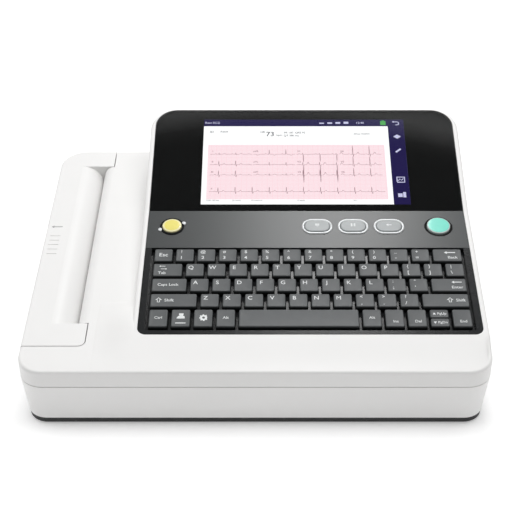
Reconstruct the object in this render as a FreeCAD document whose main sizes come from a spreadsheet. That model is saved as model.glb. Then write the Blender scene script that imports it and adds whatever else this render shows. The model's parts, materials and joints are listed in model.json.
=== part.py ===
"""Desktop ECG machine: casing, console, keyboard, printer drawer and electronics.

Millimetres, +Z up, +X to the right, +Y to the back. The origin is on the table,
below the middle of the casing.
"""
import FreeCAD, Part
import math
import os
import re
import Sketcher

# ---------------------------------------------------------------- dimensions
DIMENSIONS = {
    # casing
    "body_width": 354.0,
    "body_depth": 292.0,
    "corner_front": 19.0,
    "corner_back": 23.0,
    "wall": 2.6,
    "base_low": 6.0,
    "base_inset": 3.0,
    "base_floor": 8.5,
    "parting_z": 39.9,
    "parting_gap": 0.6,
    "deck_front": 54.8,
    "deck_back": 63.4,
    "deck_edge": 2.2,
    "plinth_low": 1.0,
    "plinth_inset": 3.8,
    "foot_radius": 9.0,
    "foot_x": 150.0,
    "foot_y": 120.0,
    "foot_height": 3.5,
    # sloping console on the deck
    "panel_left": -89.65,
    "panel_right": 172.65,
    "panel_y": -110.9,
    "panel_z": 61.3,
    "keyboard_tilt": 6.68,
    "keyboard_length": 141.0,
    "display_tilt": 14.85,
    "display_length": 118.0,
    "panel_corner_front": 7.0,
    "panel_corner_back": 19.0,
    "panel_depth": 2.6,
    "panel_gap": 0.25,
    "ledge": 3.0,
    "rim_front": 2.8,
    "rim_left": 4.1,
    "rim_edge": 2.2,
    "console_corner": 10.5,
    # display
    "screen_left": -47.0,
    "screen_width": 176.6,
    "screen_front": 8.3,
    "screen_height": 99.4,
    # keyboard
    "key_pitch": 17.16,
    "row_pitch": 16.92,
    "key_gap": 3.7,
    "key_left": -80.9,
    "key_depth": 13.2,
    "key_front": 11.4,
    "key_extra": 4.0,
    "key_skirt": 0.8,
    "key_round": 1.1,
    "half_key_gap": 1.2,
    "half_key_skirt": 0.4,
    "key_low": -2.4,
    "key_top": 1.6,
    "stem_radius": 2.0,
    "key_plate": -4.5,
    "well_left": -84.2,
    "well_right": 167.4,
    "well_front": 4.4,
    "well_back": 97.0,
    "strip_front": 95.8,
    "membrane_top": -8.6,
    "membrane_thick": 0.8,
    # buttons on the control strip
    "button_line": 121.2,
    "button_low": -3.0,
    "button_top": 1.9,
    "button_clear": 0.35,
    "power_x": -69.4,
    "power_radius": 7.9,
    "start_x": 149.8,
    "start_radius": 9.6,
    "pill_x": 50.0,
    "pill_pitch": 29.5,
    "pill_width": 20.8,
    "pill_depth": 13.6,
    "pill_corner": 6.2,
    "ring_width": 1.7,
    "ear_radius": 1.9,
    "ear_x": 9.4,
    "ear_y": 3.8,
    # printer drawer
    "cover_right": -129.0,
    "cover_front": -117.2,
    "cover_corner": 5.0,
    "cover_gap": 0.8,
    "scoop_front": -92.0,
    "scoop_back": 120.9,
    "bullnose_x": -157.6,
    "bullnose_radius": 19.0,
    "slot_gap": 1.2,
    "lip_radius": 9.0,
    "cover_wall": 2.4,
    "door_back": 127.4,
    "door_low": 9.2,
    "door_inner": -170.5,
    "tray_right": -14.0,
    "tray_front": -95.0,
    "tray_back": 124.0,
    "tray_low": 9.6,
    "tray_top": 22.0,
    "tray_wall": 2.5,
    "runner_z": 15.0,
    "paper_length": 148.0,
    "paper_width": 210.0,
    "paper_height": 9.8,
    # platen, print head and gears
    "platen_x": -147.0,
    "platen_z": 31.0,
    "platen_radius": 8.0,
    "shaft_radius": 2.5,
    "running": 0.05,
    "gear_module": 0.8,
    "platen_teeth": 24.0,
    "idler_teeth": 30.0,
    "pinion_teeth": 12.0,
    "pinion_angle": 20.0,
    "gear_front": -108.0,
    "gear_width": 5.0,
    "frame_front": -101.5,
    "frame_back": 128.8,
    "sheet": 1.5,
    "rod_x": -128.0,
    "rod_z": 26.0,
    "rod_radius": 2.0,
    "motor_radius": 12.0,
    "motor_length": 24.0,
    "leaf_thick": 0.5,
    "leaf_width": 7.0,
    # connector bay in the back
    "bay_left": 0.0,
    "bay_right": 150.0,
    "bay_low": 11.0,
    "bay_top": 37.0,
    "bay_y": 135.4,
    "inlet_x": 24.0,
    "inlet_z": 24.5,
    "stud_x": 56.0,
    "stud_z": 24.0,
    "network_x": 83.0,
    "usb_x": 112.25,
    "port_z": 22.0,
    # connector bay in the right side
    "side_bay_x": 167.6,
    "side_bay_front": 40.0,
    "side_bay_back": 100.0,
    "patient_y": 70.0,
    "patient_z": 24.0,
    # boards, speaker and battery
    "board_left": 0.0,
    "board_right": 165.0,
    "board_front": -95.0,
    "board_back": 35.0,
    "board_z": 34.0,
    "board_thick": 1.6,
    "low_board_z": 14.0,
    "supply_left": 5.0,
    "module_left": 90.0,
    "low_board_y": 42.0,
    "speaker_x": 100.0,
    "speaker_y": -108.0,
    "speaker_radius": 18.0,
    "battery_left": 66.0,
    "battery_right": 156.0,
    "battery_front": -64.0,
    "battery_back": -4.0,
    "battery_top": 26.0,
    # screws in the floor
    "screw_radius": 1.5,
    "screw_head": 2.9,
    "screw_low": 2.3,
    # trolley plate holes
    "bolt_spacing": 100.0,
    "bolt_radius": 2.2,
}

doc = FreeCAD.newDocument("ecg_machine")
sheet = doc.addObject("Spreadsheet::Sheet", "dims")
for line, (alias, size) in enumerate(DIMENSIONS.items(), start=1):
    sheet.set(f"A{line}", alias)
    sheet.set(f"B{line}", str(size))
    sheet.setAlias(f"B{line}", alias)
doc.recompute()

NODES = []


# ------------------------------------------------------------------- helpers
def formula(text):
    """Point every dimension's name in a formula at its cell."""
    def cell(word):
        return "dims." + word.group() if word.group() in DIMENSIONS else word.group()
    return re.sub(r"[a-z]\w*", cell, str(text))


def number(text):
    """Value of a formula, in millimetres or degrees."""
    result = sheet.evalExpression(formula(text))
    return float(getattr(result, "Value", result))


def bind(thing, **sizes):
    """Bind properties to formulas; a double underscore stands for a dot."""
    for name, text in sizes.items():
        thing.setExpression(name.replace("__", "."), formula(text))
    return thing


def node(label, thing):
    """Declare a finished sub-part."""
    thing.Label = label
    NODES.append(thing)
    return thing


def block(name, x, y, z):
    """Box between pairs of formulas on each axis."""
    box = doc.addObject("Part::Box", name)
    bind(box, Length=f"{x[1]} - ({x[0]})", Width=f"{y[1]} - ({y[0]})", Height=f"{z[1]} - ({z[0]})")
    return bind(box, Placement__Base__x=x[0], Placement__Base__y=y[0], Placement__Base__z=z[0])


def rod(name, axis, radius, start, length):
    """Cylinder from a start point along X, Y or Z."""
    turns = {
        "X": FreeCAD.Rotation(FreeCAD.Vector(0, 1, 0), 90),
        "Y": FreeCAD.Rotation(FreeCAD.Vector(1, 0, 0), -90),
        "Z": FreeCAD.Rotation(),
    }
    cylinder = doc.addObject("Part::Cylinder", name)
    cylinder.Placement.Rotation = turns[axis]
    bind(cylinder, Radius=radius, Height=length)
    return bind(cylinder, Placement__Base__x=start[0], Placement__Base__y=start[1],
                Placement__Base__z=start[2])


def cut(name, base, *tools):
    """Base with every tool taken away."""
    result = doc.addObject("Part::Cut", name)
    result.Base = base
    result.Tool = tools[0] if len(tools) == 1 else fuse(name + "_tools", *tools)
    return result


def fuse(name, *shapes):
    """One shape made of several that touch or overlap."""
    result = doc.addObject("Part::MultiFuse", name)
    result.Shapes = list(shapes)
    result.Refine = True
    return result


def common(name, *shapes):
    """What several shapes share."""
    result = doc.addObject("Part::MultiCommon", name)
    result.Shapes = list(shapes)
    return result


def group(name, *shapes):
    """Separate solids of one kind in one sub-part."""
    result = doc.addObject("Part::Compound", name)
    result.Links = list(shapes)
    return result


def rounded(name, base, radius, choose):
    """Round the edges that the choose function accepts."""
    doc.recompute()
    size = number(radius)
    result = doc.addObject("Part::Fillet", name)
    result.Base = base
    result.Edges = [
        (index, size, size)
        for index, edge in enumerate(base.Shape.Edges, start=1)
        if choose(edge)
    ]
    return result


def outline(sketch, x, y, front_radius, back_radius):
    """Rectangle with rounded corners, bound to the sheet."""
    left, right, front, back = (number(text) for text in (*x, *y))
    near, far = number(front_radius), number(back_radius)
    centres = (
        (right - near, front + near, near, -90),
        (right - far, back - far, far, 0),
        (left + far, back - far, far, 90),
        (left + near, front + near, near, 180),
    )
    arcs = []
    for centre_x, centre_y, radius, angle in centres:
        circle = Part.Circle(FreeCAD.Vector(centre_x, centre_y, 0), FreeCAD.Vector(0, 0, 1), radius)
        start = math.radians(angle)
        arcs.append(sketch.addGeometry(Part.ArcOfCircle(circle, start, start + math.pi / 2)))
    lines = []
    for index, arc in enumerate(arcs):
        before = sketch.Geometry[arcs[index - 1]]
        line = Part.LineSegment(before.EndPoint, sketch.Geometry[arc].StartPoint)
        lines.append(sketch.addGeometry(line))
        sketch.addConstraint(Sketcher.Constraint("Tangent", arcs[index - 1], 2, lines[-1], 1))
        sketch.addConstraint(Sketcher.Constraint("Tangent", lines[-1], 2, arc, 1))
        direction = "Horizontal" if index % 2 == 0 else "Vertical"
        sketch.addConstraint(Sketcher.Constraint(direction, lines[-1]))
    sides = (("DistanceY", 0, y[0]), ("DistanceX", 1, x[1]), ("DistanceY", 2, y[1]), ("DistanceX", 3, x[0]))
    for kind, index, text in sides:
        place = sketch.addConstraint(Sketcher.Constraint(kind, lines[index], 1, number(text)))
        sketch.setExpression(f"Constraints[{place}]", formula(text))
    for arc, text in zip(arcs, (front_radius, back_radius, back_radius, front_radius)):
        size = sketch.addConstraint(Sketcher.Constraint("Radius", arc, number(text)))
        sketch.setExpression(f"Constraints[{size}]", formula(text))


def polygon(sketch, points):
    """Closed outline with each corner bound to the sheet."""
    places = [FreeCAD.Vector(number(x), number(y), 0) for x, y in points]
    for index, place in enumerate(places):
        sketch.addGeometry(Part.LineSegment(places[index - 1], place))
    for index, (x, y) in enumerate(points):
        following = (index + 1) % len(points)
        sketch.addConstraint(Sketcher.Constraint("Coincident", index, 2, following, 1))
        across = sketch.addConstraint(Sketcher.Constraint("DistanceX", index, 2, number(x)))
        sketch.setExpression(f"Constraints[{across}]", formula(x))
        along = sketch.addConstraint(Sketcher.Constraint("DistanceY", index, 2, number(y)))
        sketch.setExpression(f"Constraints[{along}]", formula(y))


def padded(name, role, draw, low, high):
    """Body with one sketch on an origin plane, padded between two levels."""
    body = doc.addObject("PartDesign::Body", name)
    plane = next(item for item in body.Origin.OriginFeatures if item.Role == role)
    sketch = body.newObject("Sketcher::SketchObject", name + "_outline")
    sketch.AttachmentSupport = [(plane, "")]
    sketch.MapMode = "FlatFace"
    bind(sketch, AttachmentOffset__Base__z=low)
    draw(sketch)
    pad = body.newObject("PartDesign::Pad", name + "_pad")
    pad.Profile = sketch
    bind(pad, Length=f"{high} - ({low})")
    return body


def slab(name, x, y, z, front_radius, back_radius=None):
    """Block with rounded upright corners."""
    back_radius = back_radius or front_radius
    return padded(name, "XY_Plane", lambda sketch: outline(sketch, x, y, front_radius, back_radius), *z)


def profile(name, points, x):
    """Side profile, as (Y, Z) corners, run from one X to another."""
    return padded(name, "YZ_Plane", lambda sketch: polygon(sketch, points), *x)


def tapered(name, low, high):
    """Loft between two rounded rectangles, each (x, y, z, front radius, back radius)."""
    sections = []
    for end, (x, y, z, front_radius, back_radius) in (("low", low), ("high", high)):
        sketch = doc.addObject("Sketcher::SketchObject", f"{name}_{end}")
        bind(sketch, Placement__Base__z=z)
        outline(sketch, x, y, front_radius, back_radius)
        sections.append(sketch)
    loft = doc.addObject("Part::Loft", name)
    loft.Sections = sections
    loft.Solid = True
    loft.Ruled = True
    return loft


def on_keyboard(thing):
    """Lay a shape drawn as (X, up the slope, outward) on the keyboard slope."""
    thing.Placement.Rotation = FreeCAD.Rotation(FreeCAD.Vector(1, 0, 0), number("keyboard_tilt"))
    return bind(thing, Placement__Rotation__Angle="keyboard_tilt", Placement__Base__y="panel_y",
                Placement__Base__z="panel_z")


def on_display(thing):
    """Lay a shape drawn as (X, up the slope, outward) on the display slope."""
    thing.Placement.Rotation = FreeCAD.Rotation(FreeCAD.Vector(1, 0, 0), number("display_tilt"))
    return bind(thing, Placement__Rotation__Angle="display_tilt", Placement__Base__y=FOLD_Y,
                Placement__Base__z=FOLD_Z)


def deck(y):
    """Height of the deck at a depth."""
    return f"(deck_front + (({y}) + body_depth / 2) * (deck_back - deck_front) / body_depth)"


def sides(inset="0"):
    """The casing's outline, less an inset all round: x, y, front and back corners."""
    return (
        (f"-(body_width / 2 - ({inset}))", f"body_width / 2 - ({inset})"),
        (f"-(body_depth / 2 - ({inset}))", f"body_depth / 2 - ({inset})"),
        f"corner_front - ({inset})",
        f"corner_back - ({inset})",
    )


def around(middle, half):
    """Pair of formulas at equal distances from a middle."""
    return f"{middle} - ({half})", f"{middle} + {half}"


def level(edge, height, reach=0.02):
    """Whether both ends of an edge are at a height."""
    return all(abs(vertex.Z - height) < reach for vertex in edge.Vertexes)


FOLD_Y = "(panel_y + keyboard_length * cos(keyboard_tilt * 1deg))"
FOLD_Z = "(panel_z + keyboard_length * sin(keyboard_tilt * 1deg))"
HALF_WIDTH = "body_width / 2"
HALF_DEPTH = "body_depth / 2"
ACROSS = (f"-({HALF_WIDTH}) - 4", f"{HALF_WIDTH} + 4")
SLOT_FACE = "(bullnose_x + bullnose_radius + slot_gap)"
IDLER_X = "(platen_x + gear_module * (platen_teeth + idler_teeth) / 2)"
MOTOR_X = f"({IDLER_X} + gear_module * (idler_teeth + pinion_teeth) / 2 * cos(pinion_angle * 1deg))"
MOTOR_Z = "(platen_z + gear_module * (idler_teeth + pinion_teeth) / 2 * sin(pinion_angle * 1deg))"
CORNERS = ((-1, -1), (1, -1), (-1, 1), (1, 1))
SCREWS = (("-158", "-134"), ("158", "-134"), ("0", "-134"), ("168", "112"), ("-6", "132"), ("-158", "134"))
BOARD_POSTS = (("4", "-91"), ("161", "-91"), ("4", "31"), ("161", "31"), ("50", "10"), ("50", "-91"))
KEY_ROWS = (
    (("key_escape", 1), *12 * (("keys_row_1", 1),), ("key_backspace", 1.5)),
    (("key_tab", 1.5), *13 * (("keys_row_2", 1),)),
    (("key_caps_lock", 1.75), *11 * (("keys_row_3", 1),), ("key_enter", 1.75)),
    (("shift_keys", 2.25), *10 * (("keys_row_4", 1),), ("shift_keys", 2.25)),
    (*4 * (("keys_row_5", 1),), ("key_space", 5.5), *3 * (("keys_row_5", 1),), ("page_keys", 1),
     ("keys_row_5", 1)),
)


# -------------------------------------------------------------------- casing
def deck_volume(name, inset, drop):
    """Space under the sloping deck, above the parting line."""
    x, y, front_radius, back_radius = sides(inset)
    low = f"parting_z + parting_gap / 2 - {inset}"
    plan = slab(name + "_plan", x, y, (low, "80"), front_radius, back_radius)
    front_y = f"(-({HALF_DEPTH}) - 4)"
    back_y = f"({HALF_DEPTH} + 4)"
    corners = (
        (front_y, "20"),
        (back_y, "20"),
        (back_y, f"{deck(back_y)} - {drop}"),
        (front_y, f"{deck(front_y)} - {drop}"),
    )
    return common(name, plan, profile(name + "_side", corners, ACROSS))


def console_volume(name, inset, drop):
    """Space under the keyboard and display slopes."""
    plan = slab(
        name + "_plan",
        (f"panel_left - rim_left + {inset}", f"{HALF_WIDTH} - {inset}"),
        (f"panel_y - rim_front + {inset}", f"{HALF_DEPTH} - {inset}"),
        (f"50 - {inset}", "112"),
        f"console_corner - {inset}",
        f"corner_back - {inset}",
    )
    front_y = f"(-({HALF_DEPTH}) - 4)"
    back_y = f"({HALF_DEPTH} + 4)"
    corners = (
        (front_y, "30"),
        (back_y, "30"),
        (back_y, f"{FOLD_Z} + ({back_y} - {FOLD_Y}) * tan(display_tilt * 1deg) - {drop}"),
        (FOLD_Y, f"{FOLD_Z} - {drop}"),
        (front_y, f"panel_z + ({front_y} - panel_y) * tan(keyboard_tilt * 1deg) - {drop}"),
    )
    return common(name, plan, profile(name + "_side", corners, ACROSS))


def base_volume(name, inset, low):
    """The lower casing, narrower at its foot."""
    foot_x, foot_y, foot_front, foot_back = sides(f"base_inset + {inset}")
    x, y, front_radius, back_radius = sides(inset)
    top = "parting_z - parting_gap / 2"
    return tapered(name, (foot_x, foot_y, low, foot_front, foot_back), (x, y, top, front_radius, back_radius))


def along_deck(name, radius, x, drop):
    """Cylinder that follows the deck's slope past both ends of the scoop."""
    cylinder = doc.addObject("Part::Cylinder", name)
    cylinder.Placement.Rotation = FreeCAD.Rotation(FreeCAD.Vector(-1, 0, 0), 88)
    slope = "atan((deck_back - deck_front) / body_depth)"
    start = "(scoop_front - 6)"
    bind(cylinder, Radius=radius, Height="scoop_back - scoop_front + 12")
    return bind(cylinder, Placement__Rotation__Angle=f"90deg - {slope}", Placement__Base__x=x,
                Placement__Base__y=start, Placement__Base__z=f"{deck(start)} - {drop}")


def cover_region(name, inset):
    """Where the printer cover lies: flat at both ends, rounded down to the slot between."""
    ends = slab(
        name + "_ends",
        (f"-({HALF_WIDTH}) - 5", f"cover_right - {inset}"),
        (f"cover_front + {inset}", f"{HALF_DEPTH} + 5"),
        ("parting_z - 5", "80"),
        f"cover_corner - {inset}",
        "0.5",
    )
    scoop = (f"scoop_front - {inset}", f"scoop_back + {inset}")
    valley = block(name + "_valley", ("bullnose_x", "cover_right + 10"), scoop, ("parting_z - 6", "90"))
    nose = along_deck(name + "_nose", f"bullnose_radius - {inset}", "bullnose_x", "bullnose_radius")
    cheek = block(
        name + "_cheek",
        ("bullnose_x - 1", f"bullnose_x + bullnose_radius - {inset}"),
        ("scoop_front - 6", "scoop_back + 6"),
        ("parting_z - 5", "parting_z + 1"),
    )
    side = common(name + "_side", fuse(name + "_solid", nose, cheek), valley)
    return fuse(name, cut(name + "_flats", ends, valley), side)


def is_deck_edge(edge):
    """Edges around the top of the deck."""
    return all(abs(vertex.Z - number(deck(vertex.Y))) < 0.01 for vertex in edge.Vertexes)


def is_console_rim(edge):
    """Edges of the console's sloping top, without the fold between its two slopes."""
    fold_y, fold_z = number(FOLD_Y), number(FOLD_Z)
    keyboard = math.tan(math.radians(number("keyboard_tilt")))
    display = math.tan(math.radians(number("display_tilt")))
    heights = []
    for vertex in edge.Vertexes:
        slope = display if vertex.Y > fold_y else keyboard
        heights.append(abs(vertex.Z - fold_z - (vertex.Y - fold_y) * slope))
    across = all(abs(vertex.Y - fold_y) < 0.01 for vertex in edge.Vertexes)
    return max(heights) < 0.02 and not across


def panel_pockets():
    """Shallow seats for the glass and bezels, and the openings inside them."""
    seat_x = ("panel_left", "panel_right")
    hole_x = ("panel_left + ledge", "panel_right - ledge")
    corner = "panel_corner_back - ledge"
    return (
        on_keyboard(slab("keyboard_seat", seat_x, ("0", "keyboard_length + 0.4"), ("-panel_depth", "8"),
                         "panel_corner_front", "0.5")),
        on_display(slab("display_seat", seat_x, ("0", "display_length"), ("-panel_depth", "8"), "0.5",
                        "panel_corner_back")),
        on_keyboard(slab("keyboard_hole", hole_x, ("ledge", "keyboard_length + 2"), ("-16", "1"),
                         "panel_corner_front - ledge", "0.5")),
        on_display(slab("display_hole", hole_x, ("-2", "display_length - ledge"), ("-16", "1"), "0.5",
                        corner)),
    )


def slot_lip():
    """Rounded edge of the deck that goes down beside the paper slot."""
    centre = f"({SLOT_FACE} + lip_radius)"
    scoop = ("scoop_front + cover_gap", "scoop_back - cover_gap")
    bend = cut(
        "lip_bend",
        along_deck("lip_outside", "lip_radius", centre, "lip_radius"),
        along_deck("lip_inside", "lip_radius - cover_wall", centre, "lip_radius"),
    )
    corner = block("lip_corner", (SLOT_FACE, centre), scoop, ("parting_z + 1.5", "80"))
    wall = block(
        "lip_wall",
        (SLOT_FACE, f"{SLOT_FACE} + cover_wall"),
        scoop,
        ("parting_z + 1.5", f"{deck('scoop_front')} - lip_radius + 1"),
    )
    upper_wall = block(
        "lip_upper_wall",
        (SLOT_FACE, f"{SLOT_FACE} + cover_wall"),
        ("scoop_front + (scoop_back - scoop_front) / 2", "scoop_back - cover_gap"),
        ("parting_z + 1.5", f"{deck('scoop_front')} - lip_radius + 3.5"),
    )
    return fuse("slot_lip", common("lip_curve", bend, corner), wall, upper_wall)


def make_top_casing():
    """Upper shell with the console and the opening for the printer cover."""
    outer = fuse(
        "top_outer",
        rounded("deck_soft", deck_volume("deck_outer", "0", "0"), "deck_edge", is_deck_edge),
        rounded("console_soft", console_volume("console_outer", "0", "0"), "rim_edge", is_console_rim),
    )
    inner = fuse(
        "top_inner",
        deck_volume("deck_inner", "wall", "wall"),
        console_volume("console_inner", "wall", "(panel_depth + wall)"),
    )
    opening = slab(
        "cover_opening",
        (f"-({HALF_WIDTH}) - 6", "cover_right + cover_gap"),
        ("cover_front - cover_gap", f"{HALF_DEPTH} + 6"),
        ("parting_z - 5", "80"),
        "cover_corner + cover_gap",
        "0.5",
    )
    lip_space = block(
        "lip_space",
        (f"{SLOT_FACE} + lip_radius", "cover_right + 10"),
        ("scoop_front + cover_gap", "scoop_back - cover_gap"),
        ("parting_z - 6", "90"),
    )
    shell = cut("top_shell", outer, inner, cut("cover_cutter", opening, lip_space), *panel_pockets())
    node("top_casing", fuse("top_casing_shape", shell, slot_lip()))


def make_printer_cover():
    """White cover of the printer drawer, with grip ribs on its left."""
    outer = common("cover_outer", doc.getObject("deck_soft"), cover_region("cover_plan", "0"))
    inner = common(
        "cover_inner",
        deck_volume("cover_room", "wall", "cover_wall"),
        cover_region("cover_inner_plan", "cover_wall"),
    )
    gear_room = block(
        "cover_gear_room",
        ("cover_right - 4", "cover_right + 1"),
        ("gear_front - 2", "gear_front + gear_width + 2"),
        ("parting_z - 1", "platen_z + 14.6"),
    )
    ribs = []
    for index in range(5):
        y = f"(-5 + {index} * 6)"
        ribs.append(block(f"grip_rib_{index}", ("-172.6", "-164.2"), (f"{y} - 0.6", f"{y} + 0.6"),
                          (f"{deck(y)} - 1", f"{deck(y)} + 0.35")))
    node("drawer_cover", fuse("drawer_cover_shape", cut("cover_shell", outer, inner, gear_room), *ribs))


def make_base_casing():
    """Lower shell with its floor, drawer doorway, connector bays, bosses and battery box."""
    x, y, front_radius, back_radius = sides("wall + 0.2")
    inner_x, inner_y, inner_front, inner_back = sides("wall + 1.6")
    tongue = cut(
        "base_tongue",
        slab("tongue_outer", x, y, ("parting_z - 5", "parting_z + 2.2"), front_radius, back_radius),
        slab("tongue_inner", inner_x, inner_y, ("parting_z - 6", "parting_z + 3"), inner_front, inner_back),
    )
    shell = cut("base_shell", base_volume("base_outer", "0", "base_low"),
                base_volume("base_inner", "wall", "base_floor"))
    solid = fuse("base_solid", shell, tongue, *base_additions())
    openings = base_openings() + floor_openings("base", "base_low - 1", "base_floor + 12")
    node("base_casing", cut("base_casing_shape", solid, *openings))


def base_additions():
    """Walls around the connector bays and the battery, and posts for boards and screws."""
    floor = "base_floor - 0.5"
    additions = [
        block("bay_housing", ("bay_left - wall", "bay_right + wall"),
              ("bay_y - wall", f"{HALF_DEPTH} - wall - 1"), (floor, "bay_top + wall")),
        block("side_bay_housing", ("side_bay_x - wall", "side_bay_x + 4.4"),
              ("side_bay_front - 3", "side_bay_back + 3"), (floor, "bay_top + wall")),
        block("battery_box", *battery_sides("4"), (floor, "battery_top + 3")),
    ]
    for index, (post_x, post_y) in enumerate(BOARD_POSTS):
        height = f"board_z - ({floor})"
        additions.append(rod(f"board_post_{index}", "Z", "3", (post_x, post_y, floor), height))
    for index, (screw_x, screw_y) in enumerate(SCREWS):
        additions.append(rod(f"screw_boss_{index}", "Z", "4", (screw_x, screw_y, floor), "10"))
    return additions


def battery_sides(margin):
    """Outline of the battery pack, grown by a margin: x and y."""
    return (
        (f"battery_left - {margin}", f"battery_right + {margin}"),
        (f"battery_front - {margin}", f"battery_back + {margin}"),
    )


def base_openings():
    """Drawer doorway, connector bays and the holes for the connectors in them."""
    left = f"-({HALF_WIDTH}) - 2"
    bay_wall = ("bay_y - 4", "bay_y + 1")
    return [
        block("drawer_doorway", (left, "door_inner + 0.4"), ("cover_front - 0.4", "door_back + 0.6"),
              ("door_low - 0.4", "80")),
        block("cover_relief", (left, "cover_right + 1.2"), ("cover_front - 0.4", f"{HALF_DEPTH} + 2"),
              ("parting_z - parting_gap / 2", "80")),
        block("bay_space", ("bay_left", "bay_right"), ("bay_y", f"{HALF_DEPTH} + 4"), ("bay_low", "bay_top")),
        block("side_bay_space", ("side_bay_x", "180"), ("side_bay_front", "side_bay_back"),
              ("bay_low", "bay_top")),
        block("battery_space", *battery_sides("2"), ("base_low - 1", "battery_top + 1")),
        block("inlet_hole", around("inlet_x", "13.2"), bay_wall, around("inlet_z", "10.2")),
        rod("stud_hole", "Y", "2.1", ("stud_x", "bay_y - 4", "stud_z"), "6"),
        block("network_hole", around("network_x", "8.2"), bay_wall, around("port_z", "7.2")),
        block("usb_hole", around("usb_x", "7.45"), bay_wall, around("port_z", "8.2")),
        block("patient_hole", ("side_bay_x - 7.6", "side_bay_x + 0.4"), around("patient_y", "19.8"),
              around("patient_z", "7.2")),
    ]


def floor_openings(name, low, high):
    """Screw holes, trolley plate holes and speaker slots through the floor."""
    tools = []
    for index, (x, y) in enumerate(SCREWS):
        tools.append(rod(f"{name}_screw_hole_{index}", "Z", "screw_radius + running", (x, y, low),
                         f"{high} - ({low})"))
    for index, (side_x, side_y) in enumerate(CORNERS):
        place = (f"{side_x} * bolt_spacing / 2", f"{side_y} * bolt_spacing / 2", low)
        tools.append(rod(f"{name}_bolt_hole_{index}", "Z", "bolt_radius", place, f"base_floor + 1 - ({low})"))
    for index in range(-2, 3):
        y = f"(speaker_y + {index} * 6)"
        tools.append(block(f"{name}_speaker_slot_{index + 2}", around("speaker_x", "12"), around(y, "1.2"),
                           (low, "base_floor + 1")))
    return tools


def make_plinth():
    """Dark tray under the casing, with its rubber feet."""
    x, y, front_radius, back_radius = sides("plinth_inset")
    tray = slab("plinth_tray", x, y, ("plinth_low", "base_low"), front_radius, back_radius)
    below = "plinth_low - 1"
    openings = [slab("door_hole", *battery_sides("8"), (below, "base_low + 1"), "4")]
    feet = []
    for index, (side_x, side_y) in enumerate(CORNERS):
        place = (f"{side_x} * foot_x", f"{side_y} * foot_y")
        openings.append(rod(f"foot_seat_{index}", "Z", "foot_radius", (*place, below),
                            f"foot_height - ({below})"))
        foot = rod(f"foot_{index}", "Z", "foot_radius - 0.1", (*place, "0"), "foot_height")
        feet.append(rounded(f"foot_soft_{index}", foot, "0.8", lambda edge: level(edge, 0)))
    for index, (screw_x, screw_y) in enumerate(SCREWS):
        openings.append(rod(f"screw_head_room_{index}", "Z", "screw_head + 0.3", (screw_x, screw_y, below),
                            "screw_low + 1.9 - (plinth_low - 1)"))
    openings += floor_openings("plinth", below, "base_low + 1")
    node("base_plinth", cut("base_plinth_shape", tray, *openings))
    node("rubber_feet", group("rubber_feet_group", *feet))


def make_screws():
    """Screws that hold the two casings together, with a slot in each head."""
    screws = []
    for index, (x, y) in enumerate(SCREWS):
        shank = rod(f"screw_shank_{index}", "Z", "screw_radius", (x, y, "screw_low + 1.9"), "12")
        head = rod(f"screw_head_{index}", "Z", "screw_head", (x, y, "screw_low"), "1.9")
        drive = block(f"screw_drive_{index}", around(x, "1.4"), around(y, "0.4"),
                      ("screw_low - 0.3", "screw_low + 0.9"))
        screws.append(cut(f"screw_{index}", fuse(f"screw_blank_{index}", shank, head), drive))
    node("casing_screws", group("casing_screws_group", *screws))


def make_battery():
    """Battery pack and the door below it."""
    door = slab("door_plate", *battery_sides("7.6"), ("plinth_low + 0.3", "base_low - 0.1"), "3.6")
    finger = block("door_finger_slot", around("(battery_left + battery_right) / 2", "7"),
                   ("battery_front - 6", "battery_front - 3"), ("plinth_low - 1", "plinth_low + 2"))
    node("battery_door", cut("battery_door_shape", door, finger))
    pack = slab("pack_case", *battery_sides("0"), ("base_low + 0.2", "battery_top"), "3")
    top = number("battery_top")
    node("battery_pack", rounded("battery_pack_shape", pack, "0.8", lambda edge: level(edge, top)))


# ------------------------------------------------------------- console panel
def make_panel():
    """Glass, control strip, keyboard bezel and what lies under them."""
    across = ("panel_left + panel_gap", "panel_right - panel_gap")
    window = slab("window_plate", across, ("panel_gap", "display_length - panel_gap"), ("-2.3", "0"), "0.6",
                  "panel_corner_back - panel_gap")
    node("display_window", on_display(window))
    screen = ("screen_left", "screen_left + screen_width")
    screen_y = ("screen_front", "screen_front + screen_height")
    node("lcd_screen", on_display(slab("screen_plate", screen, screen_y, ("-5.2", "-2.4"), "0.6")))
    frame = slab("frame_pan", ("screen_left - 5", "screen_left + screen_width + 5"),
                 ("screen_front - 4", "screen_front + screen_height + 5"), ("-9", "-2.6"), "2")
    frame_room = slab("frame_room", ("screen_left - 0.2", "screen_left + screen_width + 0.2"),
                      ("screen_front - 0.2", "screen_front + screen_height + 0.2"), ("-5.3", "0"), "0.6")
    node("lcd_frame", on_display(cut("lcd_frame_shape", frame, frame_room)))
    bezel = cut(
        "bezel_shape",
        slab("bezel_plate", across, ("panel_gap", "strip_front - 0.2"), ("-panel_depth", "0"),
             "panel_corner_front - panel_gap", "0.5"),
        slab("bezel_well", ("well_left", "well_right"), ("well_front", "well_back"), ("-4", "1"), "1.5"),
    )
    node("keyboard_bezel", on_keyboard(bezel))
    node("control_strip", on_keyboard(cut("strip_shape", strip_blank(across), *ring_cutters())))
    make_keyboard_base()


def strip_blank(across):
    """Matte strip with four posts that hold the membrane down."""
    plate = slab("strip_plate", across, ("strip_front", "keyboard_length - panel_gap"), ("-panel_depth", "0"),
                 "0.6")
    posts = []
    for index, (x, y) in enumerate(((-40, 104), (95, 104), (-40, 134), (95, 134))):
        posts.append(rod(f"strip_post_{index}", "Z", "1.5", (x, y, "membrane_top"),
                         "-panel_depth + 0.2 - membrane_top"))
    return fuse("strip_blank", plate, *posts)


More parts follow.
